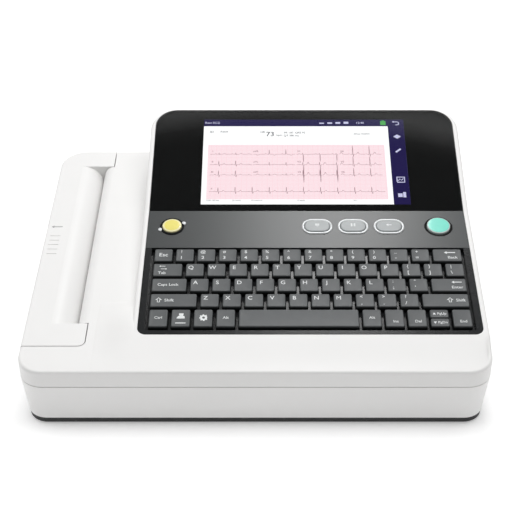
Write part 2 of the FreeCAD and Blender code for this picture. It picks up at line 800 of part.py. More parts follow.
def make_keyboard_base():
    """Plate with a hole for every key's stem, and the membrane below it."""
    plate_x = ("panel_left + ledge + 0.3", "panel_right - ledge - 0.3")
    plate_y = ("ledge + 0.3", "99")
    plate = slab("key_plate_sheet", plate_x, plate_y, ("key_plate - 1.6", "key_plate"), "3")
    rim = cut(
        "key_plate_rim",
        slab("rim_outer", plate_x, plate_y, ("key_plate - 1", "-panel_depth"), "3"),
        slab("rim_inner", ("well_left - 0.4", "well_right + 0.4"), ("well_front - 0.4", "well_back"),
             ("key_plate - 2", "0"), "1.5"),
    )
    posts = []
    for index, (x, y) in enumerate(((-50, 27), (42, 27), (134, 27), (-50, 78), (42, 78), (134, 78))):
        posts.append(rod(f"plate_post_{index}", "Z", "1", (x, y, "membrane_top"),
                         "key_plate - 0.8 - membrane_top"))
    holes = []
    for index, (_, left, width, front, depth, _) in enumerate(key_places()):
        place = (f"{left} + ({width}) / 2", f"{front} + ({depth}) / 2", "key_plate - 3")
        holes.append(rod(f"stem_hole_{index}", "Z", "stem_radius + 0.4", place, "4"))
    base = cut("keyboard_base_shape", fuse("keyboard_base_blank", plate, rim, *posts), *holes)
    node("keyboard_base", on_keyboard(base))
    membrane = slab("membrane_sheet", ("well_left", "well_right"),
                    ("well_front + 0.6", "keyboard_length - 4"),
                    ("membrane_top - membrane_thick", "membrane_top"), "2")
    node("key_membrane", on_keyboard(membrane))


def key_places():
    """Every key as (sub-part, left, width, front, depth of its top, skirt at its front and back)."""
    places = []
    for row, keys in enumerate(KEY_ROWS):
        front = f"(key_front + {len(KEY_ROWS) - 1 - row} * row_pitch)"
        depth = "key_depth"
        if row == len(KEY_ROWS) - 1:
            front, depth = f"({front} - key_extra)", "(key_depth + key_extra)"
        half = f"(({depth} - half_key_gap) / 2)"
        units = 0
        for label, size in keys:
            left = f"(key_left + {units} * key_pitch)"
            width = f"({size} * key_pitch - key_gap)"
            if label == "page_keys":
                behind = f"({front} + {half} + half_key_gap)"
                places.append((label, left, width, front, half, "half_key_skirt"))
                places.append((label, left, width, behind, half, "half_key_skirt"))
            else:
                places.append((label, left, width, front, depth, "key_skirt"))
            units += size
    return places


def key_cap(name, left, width, front, depth, skirt):
    """Keycap with sloping skirts and a guide stem."""
    low = (
        (f"{left} - key_skirt", f"{left} + {width} + key_skirt"),
        (f"{front} - {skirt}", f"{front} + {depth} + {skirt}"),
        "key_low", "key_round", "key_round",
    )
    high = ((left, f"{left} + {width}"), (front, f"{front} + {depth}"), "key_top", "key_round", "key_round")
    top = number("key_top")
    cap = rounded(name + "_soft", tapered(name + "_cap", low, high), "0.5", lambda edge: level(edge, top))
    place = (f"{left} + {width} / 2", f"{front} + {depth} / 2", "key_low - 4")
    return fuse(name, cap, rod(name + "_stem", "Z", "stem_radius", place, "4.2"))


def make_keys():
    """Single keys, and the like keys of each row together."""
    caps = {}
    for index, (label, *place) in enumerate(key_places()):
        caps.setdefault(label, []).append(key_cap(f"key_{index}", *place))
    for label, shapes in caps.items():
        whole = shapes[0] if len(shapes) == 1 else group(label + "_shape", *shapes)
        node(label, on_keyboard(whole))


def round_button(name, x, radius):
    """Domed round button with a flange below the strip and a stem."""
    cap = rod(name + "_cap", "Z", radius, (x, "button_line", "button_low"), "button_top - button_low")
    top = number("button_top")
    cap = rounded(name + "_soft", cap, "1.2", lambda edge: level(edge, top))
    flange = rod(name + "_flange", "Z", f"{radius} + 1.2", (x, "button_line", "button_low - 1.3"), "1.35")
    return fuse(name, cap, flange, button_stem(name, x))


def button_stem(name, x):
    """Stem that reaches for the membrane."""
    return rod(name + "_stem", "Z", "2.5", (x, "button_line", "button_low - 4.2"), "4")


def pill_sides(x, margin):
    """Outline of a pill button, grown by a margin: x, y and corner."""
    return (
        (f"{x} - pill_width / 2 - ({margin})", f"{x} + pill_width / 2 + ({margin})"),
        (f"button_line - pill_depth / 2 - ({margin})", f"button_line + pill_depth / 2 + ({margin})"),
        f"pill_corner + ({margin})",
    )


def pill_button(name, x):
    """Rounded rectangular button with a flange below the strip and a stem."""
    outline_x, outline_y, corner = pill_sides(x, "0")
    cap = slab(name + "_cap", outline_x, outline_y, ("button_low", "button_top - 0.6"), corner)
    top = number("button_top - 0.6")
    cap = rounded(name + "_soft", cap, "1", lambda edge: level(edge, top))
    flange_x, flange_y, flange_corner = pill_sides(x, "1")
    flange = slab(name + "_flange", flange_x, flange_y, ("button_low - 1.3", "button_low + 0.05"),
                  flange_corner)
    return fuse(name, cap, flange, button_stem(name, x))


def ring_cutters():
    """Holes in the strip, one for each button's ring."""
    margin = "button_clear + ring_width"
    cutters = [
        rod("power_cutter", "Z", f"power_radius + {margin}", ("power_x", "button_line", "-4"), "6"),
        rod("start_cutter", "Z", f"start_radius + {margin}", ("start_x", "button_line", "-4"), "6"),
    ]
    for index in range(3):
        x, y, corner = pill_sides(pill_place(index), margin)
        cutters.append(slab(f"pill_cutter_{index}", x, y, ("-4", "2"), corner))
    return cutters


def pill_place(index):
    """Middle of a pill button."""
    return f"(pill_x + {index} * pill_pitch)"


def round_ring(name, x, radius, top, *ears):
    """Ring around a round button."""
    low = "-panel_depth"
    outer = rod(name + "_outer", "Z", f"{radius} + button_clear + ring_width - 0.03", (x, "button_line", low),
                f"{top} + panel_depth")
    bore = rod(name + "_bore", "Z", f"{radius} + button_clear", (x, "button_line", "-5"), "10")
    solid = fuse(name + "_solid", outer, *ears) if ears else outer
    return cut(name, solid, bore)


def make_buttons():
    """Power, function and start buttons and the rings around them."""
    node("power_button", on_keyboard(round_button("power", "power_x", "power_radius")))
    node("start_button", on_keyboard(round_button("start", "start_x", "start_radius")))
    ears = []
    for index, side in enumerate((-1, 1)):
        place = (f"power_x + {side} * ear_x", f"button_line + {side} * ear_y", "0.02")
        ears.append(rod(f"power_ear_{index}", "Z", "ear_radius", place, "0.7"))
    rings = [
        round_ring("power_ring", "power_x", "power_radius", "0.9", *ears),
        round_ring("start_ring", "start_x", "start_radius", "0.3"),
    ]
    for index in range(3):
        x = pill_place(index)
        node(f"function_button_{index + 1}", on_keyboard(pill_button(f"pill_{index}", x)))
        outer_x, outer_y, outer_corner = pill_sides(x, "button_clear + ring_width - 0.03")
        bore_x, bore_y, bore_corner = pill_sides(x, "button_clear")
        rings.append(cut(
            f"pill_ring_{index}",
            slab(f"pill_ring_outer_{index}", outer_x, outer_y, ("-panel_depth", "0.8"), outer_corner),
            slab(f"pill_ring_bore_{index}", bore_x, bore_y, ("-5", "3"), bore_corner),
        ))
    node("button_rings", on_keyboard(group("button_rings_shape", *rings)))


# ------------------------------------------------------------ printer drawer
def make_drawer():
    """Drawer front, paper tray, paper and the rails that guide the tray."""
    front = common(
        "drawer_front_skin",
        base_volume("front_skin", "0", "base_low"),
        block("front_limits", (f"-({HALF_WIDTH}) - 2", "door_inner"), ("cover_front + 0.2", "door_back"),
              ("door_low", "parting_z")),
    )
    tongue = block("front_tongue", ("-173.8", "door_inner"), ("cover_front + 8", "door_back - 10"),
                   ("parting_z - 2", "parting_z + 6"))
    node("drawer_front", fuse("drawer_front_shape", front, tongue))
    tray_x = ("door_inner", "tray_right")
    tray_y = ("tray_front", "tray_back")
    room = block("tray_room", ("door_inner + tray_wall", "tray_right - tray_wall"),
                 ("tray_front + tray_wall", "tray_back - tray_wall"), ("tray_low + 1.6", "60"))
    box = fuse("tray_solid", block("tray_block", tray_x, tray_y, ("tray_low", "tray_top")), *tray_details())
    bores = rod("tray_bush_bore", "Y", "4", ("platen_x", "tray_front - 5", "platen_z"),
                "tray_back - tray_front + 10")
    node("paper_tray", cut("paper_tray_shape", box, room, bores))
    stack_y = "(tray_front + tray_back) / 2"
    node("paper_stack", slab(
        "paper_stack_shape",
        ("door_inner + 4.5", "door_inner + 4.5 + paper_length"),
        (f"{stack_y} - paper_width / 2", f"{stack_y} + paper_width / 2"),
        ("tray_low + 1.6", "tray_low + 1.6 + paper_height"),
        "0.6",
    ))
    rails = []
    for name, wall_y, outward in (("front", "tray_front", -1), ("back", "tray_back", 1)):
        near, far = f"{wall_y} + {outward} * 1", f"{wall_y} + {outward} * 4"
        rail_y = (far, near) if outward < 0 else (near, far)
        groove_y = (f"{near} - 1", f"{near} + 1")
        rails.append(cut(
            f"rail_{name}",
            block(f"rail_{name}_bar", ("door_inner + 2.5", "tray_right + 4"), rail_y, ("base_floor", "20")),
            block(f"rail_{name}_groove", ("door_inner + 0.5", "tray_right + 6"), groove_y,
                  around("runner_z", "1.4")),
        ))
    node("drawer_rails", group("drawer_rails_shape", *rails))


def tray_details():
    """Cheeks that carry the platen, and the runners in the rails."""
    parts = []
    for name, wall_y, inward in (("front", "tray_front", 1), ("back", "tray_back", -1)):
        inner = f"{wall_y} + {inward} * tray_wall"
        cheek_y = (wall_y, inner) if inward > 0 else (inner, wall_y)
        parts.append(block(f"cheek_{name}", ("platen_x - 13", "platen_x + 5.8"), cheek_y,
                           ("tray_top - 1", "platen_z + 7.5")))
        outer = f"{wall_y} - {inward} * 1.6"
        runner_y = (outer, wall_y) if inward > 0 else (wall_y, outer)
        parts.append(block(f"runner_{name}", ("door_inner", "tray_right"), runner_y, around("runner_z", "1")))
    return parts


def make_platen():
    """Rubber platen on a steel shaft in two bushes, with its gear."""
    bore = rod("platen_bore", "Y", "shaft_radius", ("platen_x", "tray_front", "platen_z"),
               "tray_back - tray_front")
    start = "tray_front + tray_wall + 1.7"
    length = "tray_back - tray_front - 2 * (tray_wall + 1.7)"
    roller = rod("platen_sleeve", "Y", "platen_radius", ("platen_x", start, "platen_z"), length)
    node("platen_roller", cut("platen_roller_shape", roller, bore))
    shaft = rod("shaft_bar", "Y", "shaft_radius", ("platen_x", "gear_front - 1", "platen_z"),
                "tray_back + 1 - (gear_front - 1)")
    node("platen_shaft", shaft)
    bushes = []
    for name, start, flange in (("front", "tray_front - 0.6", "tray_front + tray_wall"),
                                ("back", "tray_back - tray_wall", "tray_back - tray_wall - 1.2")):
        sleeve = rod(f"bush_{name}_sleeve", "Y", "4", ("platen_x", start, "platen_z"), "tray_wall + 0.6")
        collar = rod(f"bush_{name}_collar", "Y", "5.4", ("platen_x", flange, "platen_z"), "1.2")
        hole = rod(f"bush_{name}_hole", "Y", "shaft_radius + running",
                   ("platen_x", f"{start} - 5", "platen_z"), "14")
        bushes.append(cut(f"bush_{name}", fuse(f"bush_{name}_solid", sleeve, collar), hole))
    node("platen_bushes", group("platen_bushes_shape", *bushes))


def gear_face(teeth, bore):
    """Involute gear outline with a bore, around the origin."""
    module, pressure, backlash = number("gear_module"), math.radians(25), 0.14
    pitch_radius = module * teeth / 2
    base_radius = pitch_radius * math.cos(pressure)
    tip, root = pitch_radius + module, pitch_radius - 1.25 * module
    start = max(base_radius, root)

    def half_angle(radius):
        """Half the tooth's angle at a radius."""
        slant = math.acos(min(1.0, base_radius / radius))
        lead = math.tan(pressure) - pressure - math.tan(slant) + slant
        return math.pi / 2 / teeth - backlash / 2 / pitch_radius + lead

    def point(radius, angle):
        return FreeCAD.Vector(radius * math.cos(angle), radius * math.sin(angle), 0)

    radii = [start + (tip - start) * step / 3 for step in range(4)]
    edges = []
    for tooth in range(int(teeth)):
        middle = 2 * math.pi * tooth / teeth
        rising = [point(radius, middle - half_angle(radius)) for radius in radii]
        falling = [point(radius, middle + half_angle(radius)) for radius in reversed(radii)]
        foot = half_angle(start)
        before, after = point(root, middle - foot), point(root, middle + foot)
        following = point(root, middle + 2 * math.pi / teeth - foot)
        if root < start:
            edges.append(Part.makeLine(before, rising[0]))
        edges.append(flank(rising))
        edges.append(Part.Arc(rising[-1], point(tip, middle), falling[0]).toShape())
        edges.append(flank(falling))
        if root < start:
            edges.append(Part.makeLine(falling[-1], after))
        edges.append(Part.Arc(after, point(root, middle + math.pi / teeth), following).toShape())
    disc = Part.Face(Part.Wire(Part.Circle(FreeCAD.Vector(), FreeCAD.Vector(0, 0, 1), bore).toShape()))
    return Part.Face(Part.Wire(edges)).cut(disc)


def flank(points):
    """Curve through a tooth flank's points."""
    curve = Part.BSplineCurve()
    curve.interpolate(points)
    return curve.toShape()


def make_gear(label, teeth, bore, x, z, turn):
    """Gear about an axis along Y, with its first tooth turned up from +X."""
    gear = doc.addObject("Part::Feature", label + "_shape")
    width = number("gear_width")
    gear.Shape = gear_face(teeth, bore).extrude(FreeCAD.Vector(0, 0, width))
    upright = FreeCAD.Rotation(FreeCAD.Vector(1, 0, 0), 90)
    turned = FreeCAD.Rotation(FreeCAD.Vector(0, 0, 1), turn)
    place = FreeCAD.Vector(x, number("gear_front") + width, z)
    gear.Placement = FreeCAD.Placement(place, upright.multiply(turned))
    node(label, gear)


def make_gears():
    """Train from the motor pinion through the idler to the platen."""
    idler_pitch, pinion_pitch = 360 / number("idler_teeth"), 360 / number("pinion_teeth")
    direction = number("pinion_angle")
    make_gear("platen_gear", number("platen_teeth"), number("shaft_radius"), number("platen_x"),
              number("platen_z"), 0)
    idler_turn = 180 - idler_pitch / 2
    make_gear("idler_gear", number("idler_teeth"), number("rod_radius + running"), number(IDLER_X),
              number("platen_z"), idler_turn)
    past_tooth = (direction - idler_turn) % idler_pitch
    pinion_turn = direction + 180 + past_tooth * pinion_pitch / idler_pitch + pinion_pitch / 2
    make_gear("motor_pinion", number("pinion_teeth"), number("1 + running"), number(MOTOR_X), number(MOTOR_Z),
              pinion_turn)


def make_printer_frame():
    """Sheet steel frame with the idler's stub, the motor, and the sprung print head."""
    front_y = ("frame_front", "frame_front + sheet")
    back_y = ("frame_back", "frame_back + sheet")
    stub = rod("idler_stub", "Y", "rod_radius", (IDLER_X, "gear_front - 0.5", "platen_z"),
               "frame_front - gear_front + 1")
    frame = fuse(
        "frame_blank",
        block("front_plate", ("-134", "-96"), front_y, ("base_floor", "parting_z - 0.6")),
        block("front_plate_top", ("-123", "-96"), front_y, ("parting_z - 1", "parting_z + 10.5")),
        block("back_plate", ("-134", "-112"), back_y, ("base_floor", "parting_z - 0.6")),
        block("cross_bar", ("-124", "-122.5"), ("frame_front", "frame_back + sheet"),
              ("rod_z + 2", "parting_z - 0.6")),
        block("cross_bar_flange", ("-124", "-116"), ("frame_front + 30", "frame_back + sheet"),
              ("parting_z - 2.1", "parting_z - 0.6")),
        stub,
    )
    pin_y = "frame_front - 1"
    rod_hole = rod("frame_rod_hole", "Y", "rod_radius", ("rod_x", pin_y, "rod_z"),
                   "frame_back - frame_front + 4")
    motor_hole = rod("frame_motor_hole", "Y", "5.2", (MOTOR_X, pin_y, MOTOR_Z), "4")
    node("printer_frame", cut("printer_frame_shape", frame, rod_hole, motor_hole))
    pivot = rod("head_rod_bar", "Y", "rod_radius", ("rod_x", "frame_front", "rod_z"),
                "frame_back + sheet - frame_front")
    node("head_rod", pivot)
    can = rod("motor_can", "Y", "motor_radius", (MOTOR_X, "frame_front + sheet", MOTOR_Z), "motor_length")
    axle = rod("motor_axle", "Y", "1", (MOTOR_X, "gear_front - 0.5", MOTOR_Z), "frame_front - gear_front + 3")
    boss = rod("motor_boss", "Y", "5", (MOTOR_X, "frame_front", MOTOR_Z), "3")
    can_soft = rounded("motor_can_soft", can, "1", lambda edge: edge.Length > 70)
    node("stepper_motor", fuse("stepper_motor_shape", can_soft, axle, boss))


def make_print_head():
    """Thermal head on a pivoting bracket, with the springs that press it."""
    head_x = ("platen_x + platen_radius + 0.3", "platen_x + platen_radius + 4.3")
    head_y = ("tray_front + 5", "tray_back - 5")
    ceramic = block("head_ceramic", head_x, head_y, ("tray_top + 2", "platen_z + 7"))
    ridge = rod("head_ridge_room", "Y", "platen_radius + 0.3", ("platen_x", "tray_front", "platen_z"),
                "tray_back - tray_front")
    node("print_head", cut("print_head_shape", ceramic, ridge))
    plate_x = f"({head_x[1]})"
    upright = block("bracket_upright", (plate_x, f"{plate_x} + 1.6"), head_y,
                    ("tray_top + 0.8", "platen_z + 7"))
    flange = block("bracket_flange", (plate_x, "rod_x + 2.4"), head_y, ("tray_top + 0.8", "tray_top + 2.3"))
    ears = []
    for index, y in enumerate((head_y[0], f"({head_y[1]}) - 1.6")):
        ears.append(block(f"bracket_ear_{index}", (plate_x, "rod_x + 3.2"), (y, f"{y} + 1.6"),
                          ("tray_top + 0.8", "rod_z + 3.4")))
    bore = rod("bracket_bore", "Y", "rod_radius + running", ("rod_x", "tray_front", "rod_z"),
               "tray_back - tray_front")
    trough = block("bracket_trough", around("rod_x", "2.4"), (f"{head_y[0]} + 1.6", f"{head_y[1]} - 1.6"),
                   ("rod_z - 2.6", "rod_z + 3"))
    bracket = cut("head_bracket_shape", fuse("head_bracket_blank", upright, flange, *ears), bore, trough)
    node("head_bracket", bracket)
    make_springs()


def make_springs():
    """Three bent leaf springs between the frame's cross bar and the print head's bracket."""
    middle = "(tray_front + tray_back) / 2"
    bar = "(rod_x + 4)"
    tip = "(rod_x - 3.4)"
    corners = (
        (bar, "rod_z + 12"),
        (f"{bar} - leaf_thick", "rod_z + 12"),
        (f"{bar} - leaf_thick", "rod_z + 9"),
        (tip, "rod_z + 6.5"),
        (tip, "rod_z + 4"),
        (f"{tip} + leaf_thick", "rod_z + 4"),
        (f"{tip} + leaf_thick", "rod_z + 6"),
        (bar, "rod_z + 8.6"),
    )
    springs = []
    for index in range(3):
        y = f"({middle} + {index - 1} * 64.5)"
        springs.append(padded(f"leaf_spring_{index}", "XZ_Plane", lambda sketch: polygon(sketch, corners),
                              f"-{y} - leaf_width / 2", f"-{y} + leaf_width / 2"))
    node("head_springs", group("head_springs_shape", *springs))


# --------------------------------------------------------------- electronics
def component(name, x, y, width, depth, height, base="board_z + board_thick"):
    """Square part soldered on a board, sunk slightly into it."""
    return block(name, (x, f"{x} + {width}"), (y, f"{y} + {depth}"), (f"{base} - 0.2", f"{base} + {height}"))


def make_main_board():
    """Board over the battery, with its processor and sockets."""
    board = block("board_sheet", ("board_left", "board_right"), ("board_front", "board_back"),
                  ("board_z", "board_z + board_thick"))
    chips = [
        component("processor", "board_left + 70", "board_front + 45", "28", "28", "2.4"),
        component("heat_sink", "board_left + 72", "board_front + 47", "24", "24", "8.4"),
        component("memory", "board_left + 110", "board_front + 50", "25", "20", "1.4"),
        component("head_socket", "board_left + 2", "board_front + 75", "6", "30", "4.9"),
        component("screen_socket", "board_left + 30", "board_back - 9", "30", "6", "3.4"),
        component("keyboard_socket", "board_left + 90", "board_front + 3", "30", "6", "3.4"),
    ]
    node("main_board", fuse("main_board_shape", board, *chips))


def board_foot(name, x, y, width, depth):
    """Block between the floor and a low board."""
    return block(name, (x, f"{x} + {width}"), (y, f"{y} + {depth}"), ("base_floor", "low_board_z + 0.2"))


def make_low_boards():
    """Power supply and ECG module on feet behind the battery."""
    base = "low_board_z + board_thick"
    left, front = "supply_left", "low_board_y"
    supply = fuse(
        "supply_shape",
        block("supply_board", (left, f"{left} + 73"), (front, f"{front} + 70"), ("low_board_z", base)),
        component("transformer", f"{left} + 39", f"{front} + 18", "28", "24", "22.4", base),
        component("supply_sink", f"{left} + 5", f"{front} + 8", "4", "45", "20.4", base),
        rod("supply_capacitor", "Z", "9", (f"{left} + 23", f"{front} + 54", f"{base} - 0.2"), "20"),
        board_foot("supply_foot_left", f"{left} + 3", f"{front} + 4", "6", "6"),
        board_foot("supply_foot_right", f"{left} + 63", f"{front} + 58", "6", "6"),
    )
    node("power_supply", supply)
    left = "module_left"
    module = fuse(
        "module_shape",
        block("module_board", (left, f"{left} + 56"), (front, f"{front} + 68"), ("low_board_z", base)),
        component("module_shield", f"{left} + 5", f"{front} + 6", "46", "56", "8.4", base),
        board_foot("module_foot_left", f"{left} + 2", f"{front} + 2", "6", "3"),
        board_foot("module_foot_right", f"{left} + 48", f"{front} + 63", "6", "3"),
    )
    node("ecg_module", module)


def make_speaker():
    """Speaker that fires down through slots in the floor."""
    cone = doc.addObject("Part::Cone", "speaker_cone")
    bind(cone, Radius1="speaker_radius - 1", Radius2="speaker_radius - 10", Height="7")
    bind(cone, Placement__Base__x="speaker_x", Placement__Base__y="speaker_y",
         Placement__Base__z="base_floor + 1.9")
    speaker = fuse(
        "speaker_shape",
        rod("speaker_rim", "Z", "speaker_radius", ("speaker_x", "speaker_y", "base_floor"), "2"),
        cone,
        rod("speaker_magnet", "Z", "speaker_radius - 8", ("speaker_x", "speaker_y", "base_floor + 8.7"), "6"),
    )
    node("speaker", speaker)


def make_cables():
    """Flat cables from the board to the screen and to the print head."""
    screen_low = "board_z + board_thick + 3.4"
    head_low = "parting_z + 0.6"
    cables = group(
        "ribbon_shape",
        block("screen_ribbon", ("board_left + 32", "board_left + 58"),
              ("board_back - 6.4", "board_back - 5.8"), (screen_low, f"{screen_low} + 31")),
        block("head_ribbon", ("rod_x + 13", "board_left + 4"), ("board_front + 83", "board_front + 99"),
              (head_low, f"{head_low} + 0.4")),
    )
    node("ribbon_cables", cables)


def make_inlet():
    """Mains inlet with its three blades."""
    inlet = fuse(
        "inlet_solid",
        block("inlet_body", around("inlet_x", "13"), ("bay_y - 17", "bay_y + 0.2"), around("inlet_z", "10")),
        slab("inlet_flange", around("inlet_x", "17"), ("bay_y", "bay_y + 2"), around("inlet_z", "11.9"),
             "0.8"),
    )
    cavity = block("inlet_cavity", around("inlet_x", "11.2"), ("bay_y - 14", "bay_y + 4"),
                   ("inlet_z - 7.7", "inlet_z + 7.9"))
    blades = []
    for index, (x, z) in enumerate(((-7, -2.5), (7, -2.5), (0, 2.9))):
        blades.append(block(f"inlet_blade_{index}", around(f"inlet_x + {x}", "1"),
                            ("bay_y - 14.5", "bay_y - 1"), around(f"inlet_z + {z}", "2")))
    node("ac_inlet", fuse("inlet_shape", cut("inlet_shell", inlet, cavity), *blades))


def make_ground_stud():
    """Round stud for the equipotential earth lead."""
    stud = fuse(
        "stud_shape",
        rod("stud_tail", "Y", "2", ("stud_x", "bay_y - 10", "stud_z"), "10.5"),
        rod("stud_collar", "Y", "6", ("stud_x", "bay_y", "stud_z"), "1.6"),
        rod("stud_pin", "Y", "3", ("stud_x", "bay_y", "stud_z"), "9.6"),
    )
    node("ground_stud", stud)


def make_data_ports():
    """Network socket and a pair of USB sockets."""
    face = ("bay_y - 15", "bay_y + 1")
    network = cut(
        "network_shape",
        block("network_body", around("network_x", "8"), face, around("port_z", "7")),
        block("network_cavity", around("network_x", "6"), ("bay_y - 11", "bay_y + 2"),
              ("port_z - 4.5", "port_z + 3.5")),
    )
    slots = []
    for index, side in enumerate((-1, 1)):
        slots.append(block(f"usb_cavity_{index}", around("usb_x", "6.25"), ("bay_y - 10", "bay_y + 2"),
                           around(f"port_z + {side} * 4.1", "2.6")))
    usb = cut("usb_shape", block("usb_body", around("usb_x", "7.25"), face, around("port_z", "8")), *slots)
    node("data_ports", group("data_ports_shape", network, usb))


def make_patient_connector():
    """Fifteen-pole connector for the patient lead, in a recess of the right side."""
    shell = fuse(
        "patient_solid",
        block("patient_body", ("side_bay_x - 15.6", "side_bay_x + 0.4"), around("patient_y", "19.5"),
              around("patient_z", "7")),
        slab("patient_flange", ("side_bay_x", "side_bay_x + 1.8"), around("patient_y", "26"),
             around("patient_z", "10"), "0.8"),
        slab("patient_collar", ("side_bay_x + 1.4", "side_bay_x + 7.4"), around("patient_y", "18"),
             around("patient_z", "6"), "1.5"),
    )
    cavity = block("patient_cavity", ("side_bay_x + 0.4", "side_bay_x + 8.4"), around("patient_y", "16"),
                   around("patient_z", "4"))
    contacts = []
    for row, count in enumerate((8, 7)):
        for place in range(count):
            y = f"patient_y - 11.5 + ({place} + {row} / 2) * 3.3"
            contacts.append(rod(f"contact_{row}_{place}", "X", "0.5",
                                ("side_bay_x + 0.3", y, f"patient_z - 1.6 + {row} * 3.2"), "3.5"))
    node("patient_connector", fuse("patient_shape", cut("patient_shell", shell, cavity), *contacts))


# --------------------------------------------------------------------- build
make_top_casing()
make_printer_cover()
make_base_casing()
make_plinth()
make_screws()
make_battery()
make_panel()
make_keys()
make_buttons()
make_drawer()
make_platen()
make_gears()
make_printer_frame()
make_print_head()
make_main_board()
make_low_boards()
make_speaker()
make_cables()
make_inlet()
make_ground_stud()
make_data_ports()
make_patient_connector()
doc.recompute()

# ---------------------------------------------------------------- test, write
for thing in doc.Objects:
    if {"Invalid", "Error"} & set(thing.State):
        raise RuntimeError(f"{thing.Label} failed: {thing.getStatusString()}")
for part in NODES:
    if part.Shape.isNull() or not part.Shape.isValid() or not part.Shape.Solids:
        raise RuntimeError(f"{part.Label} has no valid solid")

os.makedirs("parts", exist_ok=True)
for part in NODES:
    part.Shape.exportStep(f"parts/{part.Label}.step")
print(len(NODES), "sub-parts written")
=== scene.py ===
"""Looks of the ECG machine: finishes, keycaps, legends, screen picture, floor, light and camera.

Metres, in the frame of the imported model. Pieces on a slope are drawn in that slope's own
frame: X to the right, Y up the slope, Z out of it.
"""

import json
import math

import bpy
from mathutils import Matrix, Vector


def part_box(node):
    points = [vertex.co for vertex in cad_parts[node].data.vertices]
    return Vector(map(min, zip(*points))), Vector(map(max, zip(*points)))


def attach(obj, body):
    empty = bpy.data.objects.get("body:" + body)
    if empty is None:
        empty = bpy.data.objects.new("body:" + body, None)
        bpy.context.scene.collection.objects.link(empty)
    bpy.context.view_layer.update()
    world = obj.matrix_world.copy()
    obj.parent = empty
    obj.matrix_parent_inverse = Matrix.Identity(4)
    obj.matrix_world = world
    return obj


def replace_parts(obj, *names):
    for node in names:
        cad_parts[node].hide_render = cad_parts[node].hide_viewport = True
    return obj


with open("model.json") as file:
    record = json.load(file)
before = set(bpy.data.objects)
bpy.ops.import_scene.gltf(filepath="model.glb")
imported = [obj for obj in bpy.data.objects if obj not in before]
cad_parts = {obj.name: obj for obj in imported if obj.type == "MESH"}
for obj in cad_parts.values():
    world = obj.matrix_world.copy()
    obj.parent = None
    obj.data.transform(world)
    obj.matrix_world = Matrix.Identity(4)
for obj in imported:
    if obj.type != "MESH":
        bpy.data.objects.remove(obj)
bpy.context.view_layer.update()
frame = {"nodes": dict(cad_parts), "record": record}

MM = 0.001
DOWN = Vector((0, 0, -1))
PRINT = 0.04 * MM  # thickness of a printed mark


# ------------------------------------------------------------------ finishes
NOISE_SPAN = (0.3, 0.7)
CHART_LINES = ((0.88 * MM, 0.16, 0.1), (4.4 * MM, 0.06, 0.35))  # pitch, share of it, darkness


def link(tree, source, target):
    """Join two sockets."""
    tree.links.new(source, target)


def noise(tree, coordinates, scale, detail=3.0):
    """Noise of that many grains a metre."""
    texture = tree.nodes.new("ShaderNodeTexNoise")
    texture.inputs["Scale"].default_value = scale
    texture.inputs["Detail"].default_value = detail
    link(tree, coordinates, texture.inputs["Vector"])
    return texture.outputs["Fac"]


def ranged(tree, value, source, target):
    """Value brought from one range to another."""
    span = tree.nodes.new("ShaderNodeMapRange")
    span.inputs["From Min"].default_value, span.inputs["From Max"].default_value = source
    span.inputs["To Min"].default_value, span.inputs["To Max"].default_value = target
    link(tree, value, span.inputs["Value"])
    return span.outputs["Result"]


def mixed(tree, share, first, second):
    """Mix of two colours."""
    mix = tree.nodes.new("ShaderNodeMix")
    mix.data_type = "RGBA"
    mix.inputs["A"].default_value = (*first, 1)
    mix.inputs["B"].default_value = (*second, 1)
    link(tree, share, mix.inputs["Factor"])
    return mix.outputs["Result"]


def calculated(tree, operation, first, second=None):
    """Result of a Math node on a socket, and on a number or another socket."""
    node = tree.nodes.new("ShaderNodeMath")
    node.operation = operation
    link(tree, first, node.inputs[0])
    if isinstance(second, float):
        node.inputs[1].default_value = second
    elif second is not None:
        link(tree, second, node.inputs[1])
    return node.outputs[0]


def separated(tree, output):
    """X, Y and Z of the surface's coordinates."""
    axes = tree.nodes.new("ShaderNodeSeparateXYZ")
    link(tree, tree.nodes.new("ShaderNodeTexCoord").outputs[output], axes.inputs["Vector"])
    return axes.outputs


def finish(name, colour, roughness, mottle=(60, 0.02), grain=(2500, 0.01), wear=0.04, stretch=(1, 1, 1),
           **more):
    """Principled material with mottled colour, uneven gloss and a fine moulded or ground grain.

    mottle is grains a metre and share of the colour, grain is grains a metre and height in
    millimetres, and more goes to the shader's own sockets.
    """
    material = bpy.data.materials.new(name)
    material.use_nodes = True
    tree = material.node_tree
    shader = tree.nodes["Principled BSDF"]
    place = tree.nodes.new("ShaderNodeTexCoord").outputs["Object"]
    stretched = tree.nodes.new("ShaderNodeMapping")
    stretched.inputs["Scale"].default_value = stretch
    link(tree, place, stretched.inputs["Vector"])
    blotches = ranged(tree, noise(tree, place, mottle[0]), NOISE_SPAN, (0, 1))
    darker = [c * (1 - mottle[1]) for c in colour]
    lighter = [min(1, c * (1 + mottle[1])) for c in colour]
    link(tree, mixed(tree, blotches, darker, lighter), shader.inputs["Base Color"])
    gloss = noise(tree, stretched.outputs["Vector"], mottle[0] * 4)
    uneven = ranged(tree, gloss, NOISE_SPAN, (max(0, roughness - wear), roughness + wear))
    link(tree, uneven, shader.inputs["Roughness"])
    if grain[1]:
        bump = tree.nodes.new("ShaderNodeBump")
        bump.inputs["Strength"].default_value = 1
        bump.inputs["Distance"].default_value = grain[1] * MM
        link(tree, noise(tree, stretched.outputs["Vector"], grain[0], 2), bump.inputs["Height"])
        link(tree, bump.outputs["Normal"], shader.inputs["Normal"])
    for socket, value in more.items():
        shader.inputs[socket.replace("_", " ")].default_value = value
    return material


